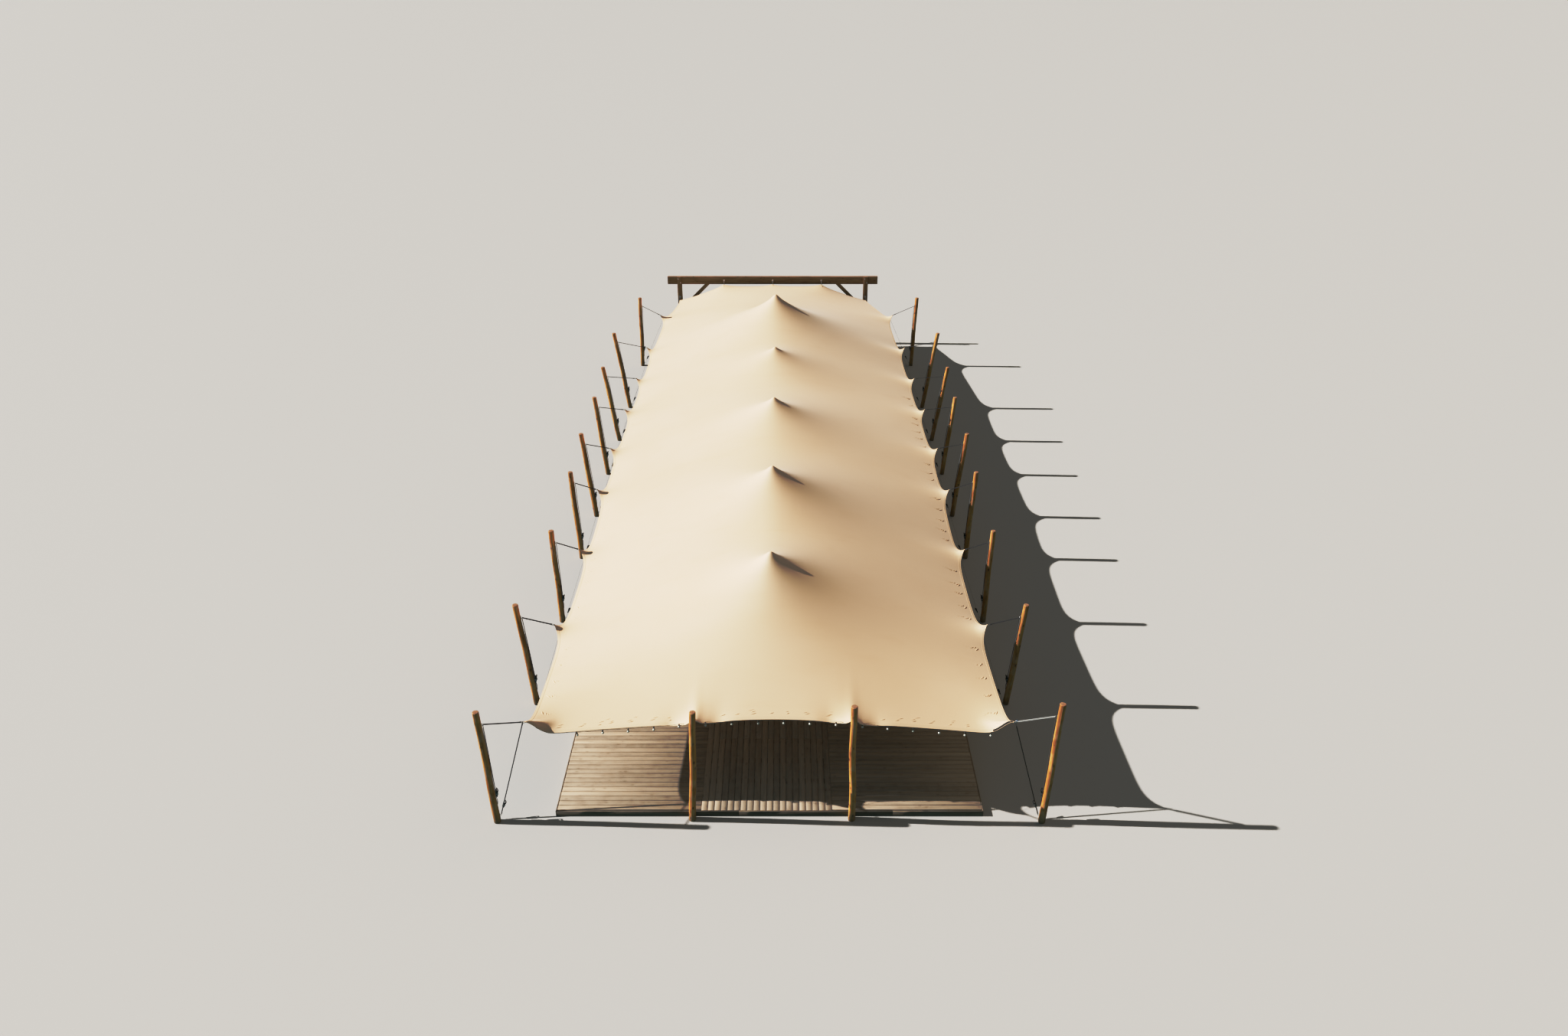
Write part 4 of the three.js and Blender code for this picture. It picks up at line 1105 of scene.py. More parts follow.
# A plate with an eye on a post's face, held by two screws. It returns the ring's inner edge, up and out.
def eyeOnPost(shape, post, z):
    face, height, thick, ring = byPost(post, z), eyePlate["height"], eyePlate["thick"], eyePlate["ring"]
    up = unit(byPost(post, z + height / 2) - byPost(post, z - height / 2))
    out = towards(np.cross(post["across"], up), -post["along"])
    outline = roundedBox(eyePlate["width"], height, 0.008, 3)
    plate(shape, outline, face + out * 0.0005, np.cross(up, out), up, thick)
    for sign in (-1, 1):
        turned(shape, face + up * sign * height * eyePlate["screwAt"] + out * thick, out,
               [(0.0075, 0), (0.0068, 0.003), (0.003, 0.0048)], 12)
    wireRing(shape, face + out * (thick + ring), up, out, ring + 0.001, eyePlate["wire"], 18)
    return face + out * (thick + ring * 1.7), up, out


def ratchetAt(fittings, webbing, origin, across, out, up, size=1.0):
    def spot(x, y, z):
        return origin + (across * x + out * y + up * z) * size

    thick, teeth = ratchet["thick"] * size, ratchet["teeth"]
    wheel = circle(1, teeth) * np.where(np.arange(teeth) % 2, ratchet["root"], ratchet["tip"])[:, None] * size
    cheek, cheekX, wheelX = np.array(ratchet["cheek"]) * size, ratchet["cheekX"], ratchet["wheelX"]
    for x in (ratchet["thick"] - cheekX, cheekX):
        plate(fittings, cheek, spot(x, 0, 0), up, out, thick, finish=1)
    for x in (ratchet["thick"] - wheelX, wheelX):
        plate(fittings, wheel, spot(x, ratchet["wheelY"], 0), up, out, thick, 0.0008)
    for shape, pins in ((fittings, ratchet["pins"]), (webbing, [ratchet["drum"]])):
        for x, y, z, *measures, sides in pins:
            rod(shape, spot(x, y, z), across, *np.multiply(measures, size), sides)
    for side, bars in ((across, ratchet["bars"]), (up, [ratchet["grip"]])):
        for start, end, width, depth, ease, finish in bars:
            bar(fittings, spot(*start), spot(*end), width * size, depth * size, ease * size, side, finish)


# The tape from a shackle's bow, doubled back and sewn where it starts
def sewnStart(shape, start, toward, across, finish=0):
    along = unit(toward)
    up = towards(np.cross(along, across), np.array([0, 0, 1.0]))
    loop = [start + along * 0.085 + up * 0.0022, start + along * 0.02 + up * 0.004,
            *ringPath(start, up, -along, 0.0085, 8, 0.15, np.pi - 0.15),
            start + along * 0.02 - up * 0.004, start + along * 0.085 - up * 0.0022]
    sweep(shape, loop, tapeOutline(strap["width"] * 0.8), across, finish=finish)


# From the bow over the eye and down to the post's ratchet: one dark tape, or two light ones side by side
def strapRun(webbing, post, bow, toEye, eye, up, out, grey):
    lanes = [(0.0, strap["width"], 0.0)]
    if grey:
        lanes = [(-0.012, strap["greyWidth"], 0.0), (0.014, strap["greyWidth"], 0.003)]
    for shift, width, lift in lanes:
        run = [spot + [0, 0, lift] for spot in spotsBetween(bow + toEye * 0.03, eye - toEye * 0.016, 9)]
        over = [eye + out * 0.004 + up * 0.006, eye + out * 0.003 - up * 0.008]
        ratchetTop = byPost(post, strap["ratchetZ"] + strap["ratchetTop"], 0.016)
        down = spotsBetween(eye - up * 0.018 - out * 0.004, ratchetTop, 12)
        path = [spot + post["across"] * shift for spot in run + over + down]
        sweep(webbing, path, tapeOutline(width), post["across"], finish=int(grey))


# A light tape down the post, the ratchet on it, and the dark strap's loose tail below
def strapOnPost(webbing, fittings, post):
    across = post["across"]
    lane = across * strap["laneShift"]
    top, foot = byPost(post, post["eyeZ"] - 0.05, 0.007) + lane, byPost(post, 0.60, 0.006) + lane
    outline = tapeOutline(strap["greyWidth"], strap["laneThickness"])
    sweep(webbing, spotsBetween(top, foot, 14), outline, across, finish=1)
    up = unit(byPost(post, 1.0) - byPost(post, 0.4))
    out = towards(unit(np.cross(across, up)), -post["along"])
    ratchetAt(fittings, webbing, byPost(post, strap["ratchetZ"], 0.003), across, out, up)
    tail = [byPost(post, z, 0.006 + strap["tailWave"] * math.sin((strap["tailStart"] - z) * 14) ** 2)
            for z in np.linspace(strap["tailStart"], strap["tailEnd"], 12)]
    sweep(webbing, tail, tapeOutline(strap["width"]), across)


# The stay runs from a patch under the canopy, or from the shackle at a front corner, to the post's foot.
def stay(webbing, fittings, post, toEye, finish):
    tip, across = post["nose"], post["across"]
    if post["number"] == 1:
        top = tip + toEye * 0.030 - [0, 0, 0.010]
    else:
        side = -1 if post["side"] == "left" else 1
        spot, normal = onCanopy(tip[1], side * (corner[0] - strap["stayInset"]))
        top = spot[0] - normal[0] * (canopy["thickness"] + 0.012)
    foot = eyeOnPost(fittings, post, strap["stayFootZ"])[0]
    way = unit(foot - top)
    sewnStart(webbing, top, way, across, finish)
    run = spotsBetween(top + way * 0.02, foot - way * 0.014, 14)
    sweep(webbing, run, tapeOutline(strap["width"]), across)
    out = towards(unit(np.cross(across, way)), -post["along"])
    middle = mix(top, foot, (tip[2] - strap["stayRatchetZ"]) / (tip[2] - foot[2]))
    ratchetAt(fittings, webbing, middle - out * 0.010, across, out, -way, strap["stayRatchetSize"])


def buildStraps(post):
    webbing, fittings = newShape(), newShape()
    tip, across, side, number = post["nose"], post["across"], post["side"], post.get("number")
    grey = side == "right" and number == 1
    eye, up, out = eyeOnPost(fittings, post, post["eyeZ"])
    toEye = unit(eye - tip)
    pin = tip + toEye * strap["pinOut"]
    shackleAt(fittings, pin, toEye, across)
    bow = pin + toEye * (strap["shackleLength"] - 0.004)
    sewnStart(webbing, bow, toEye, across, int(grey))
    if number:
        strapRun(webbing, post, bow, toEye, eye, up, out, grey)
        strapOnPost(webbing, fittings, post)
        stay(webbing, fittings, post, toEye, int(grey))
    else:
        tie = spotsBetween(bow + toEye * 0.02, eye - toEye * 0.010, 6)
        sweep(webbing, tie, tapeOutline(strap["width"]), across)
        sewnStart(webbing, eye - toEye * 0.004, -toEye, across)
    if grey:
        wireRing(fittings, pin + toEye * 0.030 + [0, 0, 0.004], toEye, (0, 0, 1), 0.020, 0.0035, 22)
        clip = tip + across * 0.026
        bar(fittings, clip + toEye * 0.045 - [0, 0, 0.03], clip + toEye * 0.05 + [0, 0, 0.02],
            0.012, 0.018, 0.004, across, finish=3)
    label = f"{side}StrapSet{number}" if number else f"{side}FrontTie"
    nodes = [f"{side}_strap_set_{number}" if number else f"front_tie_{side}"]
    makePiece(label + "Webbing", webbing, "tape greyTape", nodes)
    makePiece(label + "Fittings", fittings, "steel blackSteel rubber blue", sharp=40)


for post in posts + tiePosts:
    buildStraps(post)
print("straps made")


# Patches and tape on the noses

tab = {"width": 0.046, "reach": (0.26, 0.004), "overTop": 5, "narrow": 0.62, "tapeReach": (0.36, 0.008),
       "tapeWidth": 0.034}


# A patch under the fabric to the nose's tip, round its edge and a little way back over the top
def tabOnNose(shape, tip, ys, lineValues, across):
    spots, normal = onCanopy(ys, lineValues)
    top = (spots + normal * 0.004)[tab["overTop"]:]
    under = spots - normal * (canopy["thickness"] + 0.0045)
    outward = unit(spots[-1] - spots[-2])
    bend = [tip + outward * out + normal[-1] * up
            for out, up in ((0.012, 0.004), (0.018, 0), (0.012, -0.006))]
    narrow = np.linspace(1.0, tab["narrow"], len(spots))
    widths = [*narrow[tab["overTop"]:], 0.6, 0.6, 0.6, *narrow[::-1]]
    sweep(shape, [*top, *bend, *under[::-1]], [tapeOutline(tab["width"] * w) for w in widths], across)


# Cream patches under the noses, and dark tape along the cut end of the right front corner
def buildTabs():
    cream, dark = newShape(), newShape()
    reach = np.linspace(*tab["reach"], 9)
    for side in (-1, 1):
        for s in stations[1:]:
            tabOnNose(cream, np.array(s[4]) * [side, 1, 1], s[4][1], side * (corner[0] - reach), (0, 1, 0))
        tip = np.array(corner) * [side, 1, 1]
        tabOnNose(cream, tip, rows[0] + reach * 0.55, side * (corner[0] - reach), unit((side * 0.5, 1.0, 0)))
    start, end = tab["tapeReach"]
    edge, normal = onCanopy(rows[0] + 0.016, np.linspace(corner[0] - start, corner[0] - end, 14))
    for height in (0.005, -0.009):
        across = np.cross(np.gradient(edge, axis=0), normal)
        sweep(dark, edge + normal * height, tapeOutline(tab["tapeWidth"]), across)
    for x in noseXs[1:3]:
        tabOnNose(cream, np.array([x, *frontNose]), rows[0] + reach, x, (1, 0, 0))
    for x in (-backTieX, 0, backTieX):
        tip = np.array([x + backMiddle, *backNose])
        tabOnNose(cream, tip, rows[-1] - reach, x * corner[0] / backCorner[0], (1, 0, 0))
    makePiece("cornerTapes", dark, "tape")
    return makePiece("nosePatches", cream, "hem")


canopyTrim.append(buildTabs())


# Deck of boards on joists. A section has a width, a thickness, an ease and a finish.

deck = {"halfWidth": 4.170, "front": -13.120, "back": 13.100, "top": 0.130, "pitch": 0.1275,
        "leftInner": -1.333, "rightInner": 1.213, "joistStep": 0.57, "joistInset": 0.06, "bearerStep": 0.6,
        "fasciaJoints": (-0.6, 2.4), "sidePieces": 7, "stripLength": 3.6, "gap": 0.002, "wobble": 0.0012,
        "screw": 0.0042, "screwSink": 0.0022, "screwShift": 0.038, "seed": 71}
sections = {"board": (0.120, 0.028, 0.003, 0), "joist": (0.045, 0.102, 0.002, 0),
            "fascia": (0.124, 0.022, 0.003, 1)}


def lay(shape, start, end, kind, across, dice):
    width, thick, ease, finish = sections[kind]
    place = dice.uniform(-20, 20, 3)
    bar(shape, start, end, width, thick, ease, across, finish, dice.uniform(0, 1), place, 1)


def screwAt(shape, x, y):
    profile = [(deck["screw"], 0), (deck["screw"] * 0.6, 0.0018)]
    turned(shape, (x, y, deck["top"] - deck["screwSink"]), (0, 0, 1), profile, 6)


# Boards across the tent on both sides of the deck, with their joists along it
def crossBoards(boards, joists, screws, dice, low, high, level):
    width, pitch, shift = sections["board"][0], deck["pitch"], deck["screwShift"]
    edge = deck["halfWidth"] - sections["fascia"][1] - deck["gap"]
    count = int((high - low) / pitch)
    first = low + (high - low - count * pitch + pitch - width) / 2 + width / 2
    for x0, x1 in ((-edge, deck["leftInner"] - 0.003), (deck["rightInner"] + 0.003, edge)):
        inset = deck["joistInset"]
        joistXs = np.linspace(x0 + inset, x1 - inset, round((x1 - x0) / deck["joistStep"]) + 1)
        for n in range(count):
            y = first + n * pitch + dice.uniform(-deck["wobble"], deck["wobble"])
            drop = dice.uniform(0, deck["wobble"], 2)
            lay(boards, (x0 + dice.uniform(0, 0.004), y, level - drop[0]),
                (x1 - dice.uniform(0, 0.004), y, level - drop[1]), "board", (0, 1, 0), dice)
            for x in joistXs:
                for side in (-shift, shift):
                    screwAt(screws, x + dice.uniform(-0.006, 0.006), y + side + dice.uniform(-0.003, 0.003))
        for x in joistXs:
            lay(joists, (x, low, 0.051), (x, high, 0.051), "joist", (1, 0, 0), dice)


# Boards along the middle of the deck, jointed in turn, on bearers across it
def middleBoards(boards, joists, screws, dice, low, high, level):
    left, right, width = deck["leftInner"], deck["rightInner"], sections["board"][0]
    strips = int((right - left + 0.004) / deck["pitch"])
    pitch = width + (right - left - strips * width) / (strips - 1)
    bearers = np.arange(low + 0.3, high, deck["bearerStep"])
    for n in range(strips):
        x = left + width / 2 + n * pitch
        start, nextEnd = low, low + deck["stripLength"] * (0.5, 1.0)[n % 2] + 0.3
        while start < high - 0.1:
            end = min(nextEnd, high)
            drop = dice.uniform(0, deck["wobble"], 2)
            lay(boards, (x, start + 0.001, level - drop[0]), (x, end - 0.002, level - drop[1]), "board",
                (1, 0, 0), dice)
            start, nextEnd = end, end + deck["stripLength"]
        for y in bearers:
            for side in (-deck["screwShift"], deck["screwShift"]):
                screwAt(screws, x + side, y + dice.uniform(-0.006, 0.006))
    for y in bearers:
        lay(joists, (left, y, 0.051), (right, y, 0.051), "joist", (0, 1, 0), dice)


def buildDeck():
    boards, joists, screws = newShape(), newShape(), newShape()
    dice = np.random.default_rng(deck["seed"])
    front, back, thick, halfWidth = deck["front"], deck["back"], sections["fascia"][1], deck["halfWidth"]
    zone = (front + thick + deck["gap"], back - thick - deck["gap"], deck["top"] - sections["board"][1] / 2)
    crossBoards(boards, joists, screws, dice, *zone)
    middleBoards(boards, joists, screws, dice, *zone)
    level = sections["fascia"][0] / 2 + 0.003
    joints = (-halfWidth, *deck["fasciaJoints"], halfWidth)
    for y in (front + thick / 2, back - thick / 2):
        for x0, x1 in zip(joints, joints[1:]):
            lay(joists, (x0, y, level), (x1 - 0.001, y, level), "fascia", (0, 0, 1), dice)
    cuts = np.linspace(front + thick + 0.001, back - thick - 0.001, deck["sidePieces"] + 1)
    for x in (-(halfWidth - thick / 2), halfWidth - thick / 2):
        for y0, y1 in zip(cuts, cuts[1:]):
            lay(joists, (x, y0, level), (x, y1 - 0.001, level), "fascia", (0, 0, 1), dice)
    makePiece("deckBoards", boards, "board", ["deck"], sharp=40)
    makePiece("deckJoists", joists, "joist fascia", sharp=40)
    makePiece("deckScrews", screws, "screw", sharp=40)


buildDeck()
print("deck made")


# Portal frame of sawn timber at the back

portal = {"beamFront": 13.235, "beamBack": 13.335, "beamLow": 2.450, "beamTop": 2.750, "beamHalf": 4.140,
          "postX": 3.675, "postSize": 0.170, "braceLeg": 1.100, "braceCut": 0.170, "braceThick": 0.080,
          "braceSteps": 26, "braceBolt": 0.13, "arris": 0.005, "joint": 0.0005, "wobble": 0.0012, "seed": 90}


# A sawn timber with many rings, so that its faces can wander a little
def timber(shape, start, end, width, height, across, seed, tone):
    start, end = np.asarray(start, float), np.asarray(end, float)
    count = max(8, int(np.linalg.norm(end - start) / 0.09))
    outline = roundedBox(width, height, portal["arris"], 2)
    steps = np.array([0, 0.002, *np.linspace(0.01, 0.99, count), 0.998, 1])
    outlines = []
    for share in steps:
        flat = outline * (0.98 if share in (0, 1) else 1)
        places = np.column_stack([flat * 9, np.full(len(flat), share * 6)])
        inside = np.abs(wander(places, seed, 1.4, portal["wobble"]))
        outlines.append(flat - flat / np.linalg.norm(flat, axis=1)[:, None] * inside[:, None])
    place = np.random.default_rng(seed).uniform(-20, 20, 3)
    sweep(shape, start + (end - start) * steps[:, None], outlines, across, tone=tone, seed=place)


def boltThrough(shape, start, length, across=0.024):
    back = np.array([0, 1.0, 0])
    boltHead(shape, start, -back, across * 0.9, across, 0.011)
    end = start + back * length
    boltHead(shape, end, back, across * 0.9, across, 0.010)
    turned(shape, end, back, [(0.0058, 0), (0.0058, 0.018), (0.0045, 0.020)], 12)


# A brace with both ends cut square to what they meet, and its two bolts
def brace(shape, bolts, sign, middle, seed):
    low, cut, leg, joint = portal["beamLow"], portal["braceCut"], portal["braceLeg"], portal["joint"]
    face, width = portal["postX"] - portal["postSize"] / 2, cut / math.sqrt(2)
    steps, half, ease = portal["braceSteps"], portal["braceThick"] / 2, portal["arris"]
    underFoot, overFoot, overHead, underHead = np.array([
        (face, low - leg), (face, low - leg + cut), (face - leg + cut, low), (face - leg, low)])
    ringPoints = []
    for t in np.linspace(0, 1, steps):
        a, b = mix(underFoot, underHead, t), mix(overFoot, overHead, t)
        way = unit(b - a) * ease
        for spot, depth in ((a + way, -half), (a, -half + ease), (a, half - ease), (a + way, half),
                            (b - way, half), (b, half - ease), (b, -half + ease), (b - way, -half)):
            ringPoints.append((backMiddle + sign * spot[0], middle + depth, spot[1]))
    flat = np.array(ringPoints)
    run = np.repeat(np.linspace(0, np.linalg.norm(underHead - underFoot), steps), 8)
    shift = np.abs(wander(np.stack([run * 2, flat[:, 1] * 9], 1), seed, 1.2, portal["wobble"] * 0.7))
    flat[:, 1] += np.where(flat[:, 1] > middle, -shift, shift)
    side = np.tile([0, 0, 0, 0, 1, 1, 1, 1], steps) * width
    grain = np.stack([flat[:, 1] - middle, side, run], 1) + np.random.default_rng(seed).uniform(-20, 20, 3)
    put(shape, flat, [quad[::sign] for quad in ringFaces(steps, 8)], 0, grain, 0.7)
    outer = np.array([backMiddle + sign * (face - joint), middle, low - leg + cut / 2])
    inner = np.array([outer[0] - sign * (leg - cut / 2), middle, low - joint])
    along = unit(inner - outer)
    down = towards(unit(np.cross(along, [0, 1, 0])), np.array([0, 0, -1.0]))
    for end, way in ((outer, 1), (inner, -1)):
        boltHead(bolts, end + along * way * portal["braceBolt"] + down * width / 2, down, 0.014, 0.016, 0.008)


def buildPortal():
    seed, size, joint = portal["seed"], portal["postSize"], portal["joint"]
    front, back, low, top = (portal[key] for key in ("beamFront", "beamBack", "beamLow", "beamTop"))
    middle, level = (front + back) / 2, (low + top) / 2
    beam, bolts = newShape(), newShape()
    ends = [(backMiddle + sign * portal["beamHalf"], middle, level) for sign in (-1, 1)]
    timber(beam, *ends, back - front, top - low, (0, 1, 0), seed, 0.55)
    makePiece("headerBeamTimber", beam, "sawn", ["header_beam"])
    for number, (side, sign) in enumerate((("left", -1), ("right", 1))):
        post, knee = newShape(), newShape()
        name, x, face = side.capitalize(), backMiddle + sign * portal["postX"], back - size
        tongue = front - face - 0.0008
        for deep, start, end in ((size, 0, low - joint), (tongue, low - 0.03, top - 0.001)):
            y = face + deep / 2
            timber(post, (x, y, start), (x, y, end), size, deep, (1, 0, 0), seed + 3 + number, 0.35)
        makePiece(f"back{name}PostTimber", post, "sawn", [f"back_post_{side}"])
        for dx, dz in ((-0.042, 0.075), (0.042, -0.075)):
            boltThrough(bolts, np.array([x + dx, face, level + dz]), size)
        brace(knee, bolts, sign, middle, seed + 7 + number)
        makePiece(f"knee{name}BraceTimber", knee, "sawn", [f"knee_brace_{side}"], sharp=40)
    makePiece("frameBolts", bolts, "steel", sharp=40)


buildPortal()


# Steel links from the back hem to the frame

link = {"rod": 0.0048, "rodEnd": 0.003, "body": 0.0095, "bodyEnd": 0.006, "bodyLength": 0.044, "plate": 0.006,
        "plateWidth": 0.060, "plateHeight": 0.070, "boltX": 0.019, "boltZ": 0.022, "shackle": 0.046,
        "eye": 0.0135, "eyeWire": 0.0042, "loop": 0.0095, "loopWire": 0.0032, "beamZ": 2.600, "postZ": 1.960}


def buildLink(name, noseTip, faceY, plateZ, solid):
    shape = newShape()
    tip, thick = np.array(noseTip, float), link["plate"]
    spot = np.array([tip[0], faceY - 0.0005 - thick, plateZ])
    outline = roundedBox(link["plateWidth"], link["plateHeight"], 0.006, 2)
    plate(shape, outline, spot, (-1, 0, 0), (0, 0, 1), thick)
    for dx in (-link["boltX"], link["boltX"]):
        for dz in (-link["boltZ"], link["boltZ"]):
            hexHead(shape, spot + [dx, 0, dz], (0, -1, 0), 0.011, 0.005)
    eyeCentre = spot - [0, 0.014, 0]
    way = unit(eyeCentre - tip)
    wireRing(shape, eyeCentre, (0, 1, 0), (0, 0, 1), link["eye"], link["eyeWire"])
    shackleAt(shape, tip + way * 0.005, way, (1, 0, 0), link["shackle"], 0.012, 0.004)
    hook, end = tip + way * (0.005 + link["shackle"]), eyeCentre - way * 0.010
    length = np.linalg.norm(end - hook)
    for centre in (hook + way * 0.006, end - way * 0.002):
        wireRing(shape, centre, way, unit(np.cross(way, (1, 0, 0))), link["loop"], link["loopWire"], 18)
    if length > 0.07:
        rod(shape, hook + way * 0.014, way, link["rod"], length - 0.024, link["rodEnd"], 0.002, 14)
        rod(shape, hook + way * (length - link["bodyLength"]) / 2, way, link["body"], link["bodyLength"],
            link["bodyEnd"], 0.003, 6)
    makePiece(name, shape, "steel", [solid], sharp=40)


for side, sign in (("left", -1), ("middle", 0), ("right", 1)):
    name = side.capitalize()
    buildLink(f"beamLink{name}Steel", (backMiddle + sign * backTieX, *backNose), portal["beamFront"],
              link["beamZ"], f"beam_link_{side}")
    if sign:
        buildLink(f"cornerLink{name}Steel", (backMiddle + sign * backCorner[0], *backCorner[1:]),
                  portal["beamBack"] - portal["postSize"], link["postZ"], f"corner_link_{side}")
print("frame and links made")


# Centre poles under the peaks

pole = {"radius": 0.045, "capDrop": 0.0083, "capHeight": 0.120, "rings": 40, "sides": 36,
        "plateRadius": 0.150, "plate": 0.012, "boltCircle": 0.115, "firstBolt": 0.785, "boltStep": 1.571,
        "patchStart": 0.055, "patch": 0.36, "patchRings": 9, "patchSides": 56,
        "dome": ((0.0475, 0.0445), (0.049, 0.0525), (0.046, 0.0625), (0.038, 0.0735), (0.028, 0.0885),
                 (0.016, 0.1045), (0.008, 0.1145), (0.003, 0.1193))}


def buildPole(number, y, peakZ):
    wood, fittings = newShape(), newShape()
    r, thick, rim, up = pole["radius"], pole["plate"], pole["plateRadius"], (0, 0, 1)
    low, high = deck["top"] + thick, peakZ - pole["capDrop"] - pole["capHeight"]
    z, _, around = ringGrid(np.linspace(low, high, pole["rings"]), pole["sides"])
    radius = r - 0.0008 + wander(np.column_stack([around * 0.5, z * 0.1]), 200 + number, 0.4, 0.0006)
    local = np.column_stack([around * radius[:, None], z])
    put(wood, local + [0, y, 0], ringFaces(pole["rings"], pole["sides"]), 0, local + [number * 3.1, 0, 0])
    turned(fittings, np.array([0, y, deck["top"] + 0.0003]), up,
           [(rim - 0.001, 0), (rim, 0.001), (rim, thick - 0.002), (rim - 0.002, thick - 0.0004)], 48)
    socket = [(r + 0.014, 0), (r + 0.010, 0.004), (r + 0.0032, 0.010), (r + 0.0032, 0.090),
              (r + 0.0015, 0.092)]
    turned(fittings, np.array([0, y, low - 0.0003]), up, socket, 40)
    for turn in range(4):
        angle = turn * pole["boltStep"] + pole["firstBolt"]
        dx, dy = pole["boltCircle"] * math.cos(angle), pole["boltCircle"] * math.sin(angle)
        boltHead(fittings, np.array([dx, y + dy, low]), up, 0.013, 0.017, 0.009)
    turned(fittings, np.array([0, y, high - 0.012]), up,
           [(r + 0.002, 0), (r + 0.0045, 0.003), (r + 0.0045, 0.060), (r + 0.002, 0.064)], 40)
    turned(fittings, np.array([0, y, high]), up, pole["dome"], 40, 1)
    makePiece(f"centrePole{number}Timber", wood, "pole", [f"centre_pole_{number}"])
    makePiece(f"centrePole{number}Fittings", fittings, "steel rubber", sharp=30)


# A round patch sewn under each peak
def buildPatches():
    shape = newShape()
    rings, sides = pole["patchRings"], pole["patchSides"]
    radius, _, around = ringGrid(np.linspace(pole["patchStart"], pole["patch"], rings), sides)
    where, size = around * radius[:, None], rings * sides
    quads = ringFaces(rings, sides, capped=False)
    faces = [quad[::-1] for quad in quads] + [tuple(q + size for q in quad) for quad in quads]
    for start, flip in ((0, 1), (size - sides, -1)):
        for j in range(sides):
            a, b = start + j, start + (j + 1) % sides
            faces.append((a, a + size, b + size, b)[::flip])
    for y in peakYs:
        spots, normal = onCanopy(y + where[:, 1], where[:, 0])
        skins = [spots - normal * (canopy["thickness"] + depth) for depth in (0.0004, 0.0028)]
        put(shape, np.concatenate(skins), faces)
    return makePiece("peakPatches", shape, "hem")


for number, (y, z) in enumerate(peaks, 1):
    buildPole(number, y, z)
canopyTrim.append(buildPatches())
print("poles made")


# Light string along the front hem

lights = {"lines": (-4.42, -4.2, -3.85, -3.15, -2.414, -1.65, -1.17, -0.75, -0.32, 0, 0.32, 0.75, 1.35, 1.83,
                    2.414, 3.15, 3.85, 4.2, 4.42), "seat": (0, 0.0045, 0.0130), "cable": 0.0024, "count": 17,
          "first": -3.665, "step": 0.4925, "drop": 0.062, "bulb": 0.024, "socket": 0.0115, "dip": 0.014,
          "tie": 0.0075, "tieWire": 0.0014, "seed": 5}


def buildLights():
    cable, bulbs = newShape(), newShape()
    dice = np.random.default_rng(lights["seed"])
    knots = frontHem(np.array(lights["lines"])) - lights["seat"]
    path = [mix(a, b, t) - [0, 0, lights["dip"] * 4 * t * (1 - t)]
            for a, b in zip(knots, knots[1:]) for t in np.linspace(0, 1, 9)[:-1]]
    path = np.array([*path, knots[-1]])
    sweep(cable, path, circle(lights["cable"], 8))
    for knot in knots[1:-1]:
        spot = knot + [0, -0.001, 0.002]
        wireRing(cable, spot, (0, 1, 0), (0, 0, 1), lights["tie"], lights["tieWire"], 12, 6)
    s, r, drop = lights["socket"], lights["bulb"], lights["drop"]
    socket = [(0.004, 0), (0.0065, 0.002), (s * 0.8, 0.008), (s, 0.012), (s, 0.036), (s * 1.12, 0.038),
              (s * 1.12, 0.044), (s * 0.9, 0.046)]
    bulb = [(r * math.sin(t), drop + 0.006 - r * math.cos(t)) for t in np.linspace(0.42, 3.05, 12)]
    for n in range(lights["count"]):
        x = lights["first"] + n * lights["step"]
        spot = np.array([np.interp(x, path[:, 0], path[:, i]) for i in range(3)])
        way = unit([dice.uniform(-0.12, 0.12), dice.uniform(-0.12, 0.12), -1])
        turned(cable, spot + [0, 0, 0.006], way, socket, 16)
        turned(bulbs, spot, way, [(0.0095, drop - 0.028), *bulb], 20)
    makePiece("lightStringCable", cable, "cable", ["light_string"])
    makePiece("lightStringBulbs", bulbs, "lamp", sharp=60)


buildLights()
print("light string made")


# Floor, light and camera

studio = {"floorSize": 420.0, "floorZ": -0.001, "floorColour": (0.56, 0.55, 0.535),
          "floorBounce": (0.11, 0.21, 0.21),
          "sunAlong": (4.33, -0.16, -2.84), "sunPower": 4.1, "sunColour": (1.0, 0.97, 0.95), "sunAngle": 0.6,
          "fillAlong": (-2.5, -1.2, -2.8), "fillPower": 0.35, "fillColour": (1.0, 0.6, 0.25),
          "fillAngle": 60.0,
          "skyPower": 0.12, "skyColour": (0.60, 0.88, 0.98), "backdrop": (0.50, 0.52, 0.54)}
view = {"place": (0.28, -28.765, 15.5), "pitch": 29.4, "lens": 24.96, "sensor": 36.0, "far": 1500.0}
scene = bpy.context.scene


# One colour for what the camera sees, and another for the light that it sends to the rest
def seenAndSent(tree, seen, sent):
    inView = node(tree, "ShaderNodeLightPath").outputs["Is Camera Ray"]
    return blended(tree, inView, (*sent, 1), (*seen, 1))


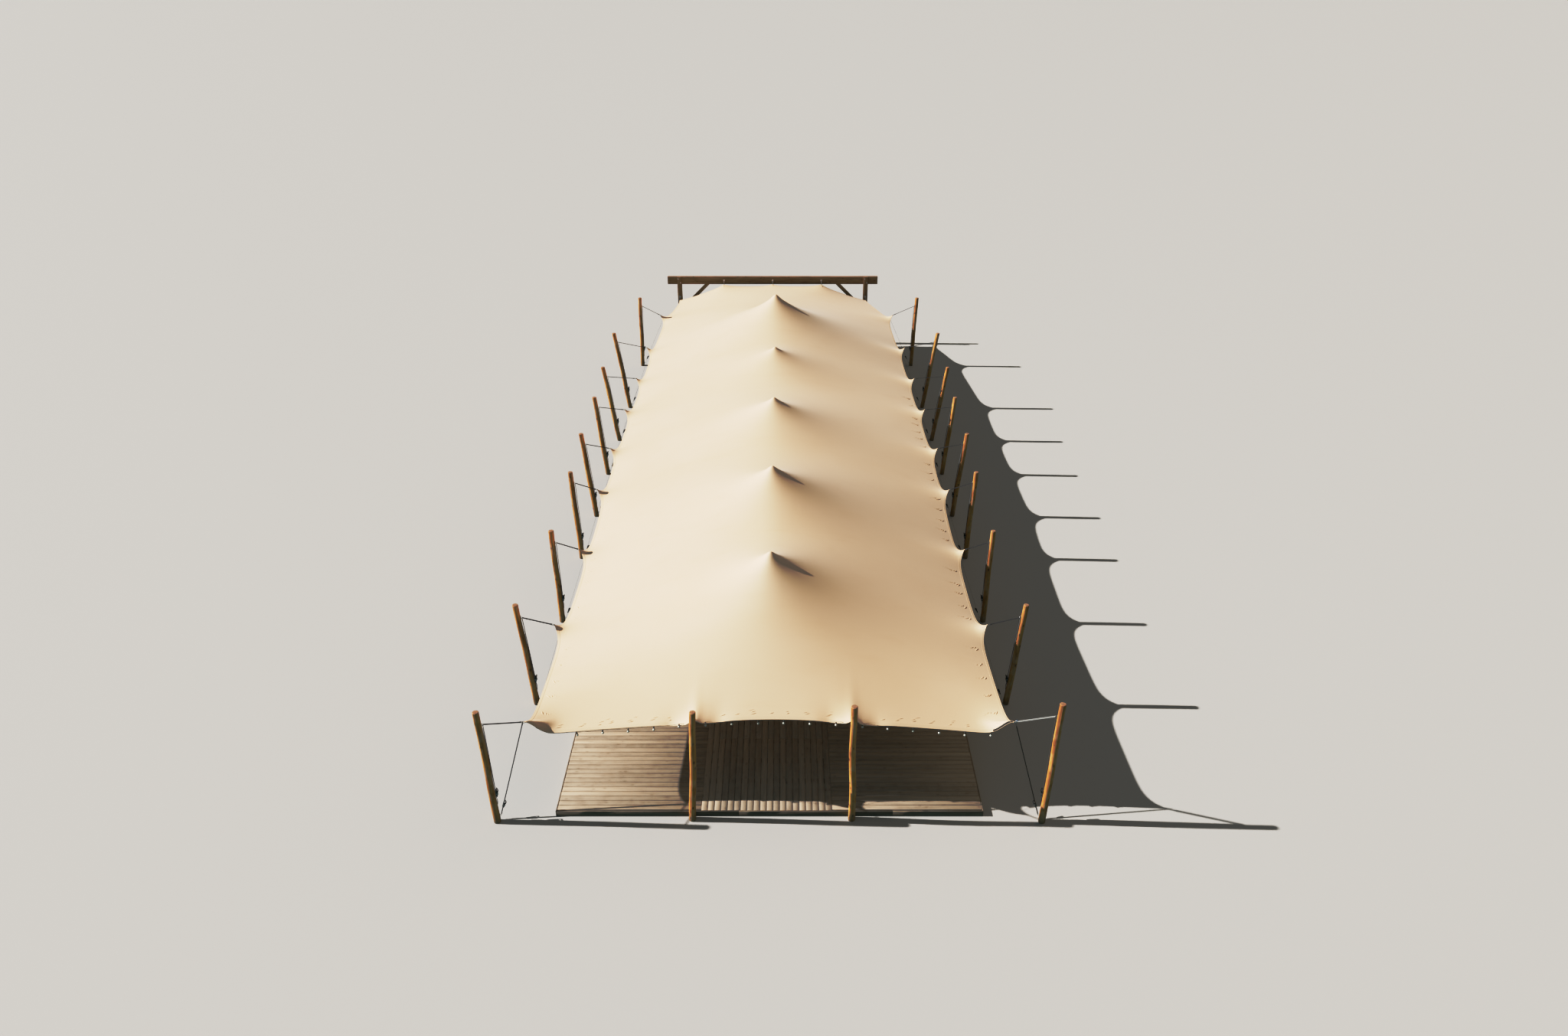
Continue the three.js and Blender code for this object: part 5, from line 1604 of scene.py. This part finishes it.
size, level = studio["floorSize"], studio["floorZ"]
floorShape = bpy.data.meshes.new("studioFloor")
floorShape.from_pydata([(x * size, y * size, level) for x, y in ((-1, -1), (1, -1), (1, 1), (-1, 1))], [],
                       [(0, 1, 2, 3)])
floor = bpy.data.objects.new("studioFloor", floorShape)
scene.collection.objects.link(floor)
floorFinish, floorTree, floorShader = newMaterial("paleFloor", 0.9)
feed(floorTree, floorShader.inputs,
     {"Base Color": seenAndSent(floorTree, studio["floorColour"], studio["floorBounce"])})
floorShader.inputs["Specular IOR Level"].default_value = 0.2
floorShape.materials.append(floorFinish)

for name, key in (("keyLight", "sun"), ("fillLight", "fill")):
    lamp = bpy.data.lights.new(name, "SUN")
    lamp.energy, lamp.color = studio[key + "Power"], studio[key + "Colour"]
    lamp.angle = math.radians(studio[key + "Angle"])
    holder = bpy.data.objects.new(name, lamp)
    holder.rotation_euler = Vector(studio[key + "Along"]).to_track_quat("-Z", "Y").to_euler()
    scene.collection.objects.link(holder)
world = bpy.data.worlds.new("softSky")
world.use_nodes = True
skyTree = world.node_tree
skyLight = tuple(c * studio["skyPower"] for c in studio["skyColour"])
skyColour = seenAndSent(skyTree, studio["backdrop"], skyLight)
feed(skyTree, skyTree.nodes["Background"].inputs, {"Color": skyColour})
scene.world = world

camera = bpy.data.objects.new("photoCamera", bpy.data.cameras.new("photoCamera"))
camera.data.lens, camera.data.sensor_width, camera.data.clip_end = view["lens"], view["sensor"], view["far"]
camera.location = view["place"]
camera.rotation_euler = (math.radians(90.0 - view["pitch"]), 0, 0)
scene.collection.objects.link(camera)
scene.camera = camera

# A camera's tone curve, in linear light: steeper in the middle, with soft shadows and highlights
toneCurve = ((0.045, 0.034), (0.15, 0.10), (0.223, 0.209), (0.305, 0.360), (0.418, 0.555), (0.54, 0.70),
             (0.68, 0.785), (0.863, 0.856))
grade = scene.view_settings
grade.view_transform, grade.look = "Standard", "None"
grade.use_curve_mapping = True
tones = grade.curve_mapping.curves[3]
for place in toneCurve:
    tones.points.new(*place)
tones.points[-1].location = (1.0, 0.90)
grade.curve_mapping.update()
print("floor, light and camera set")
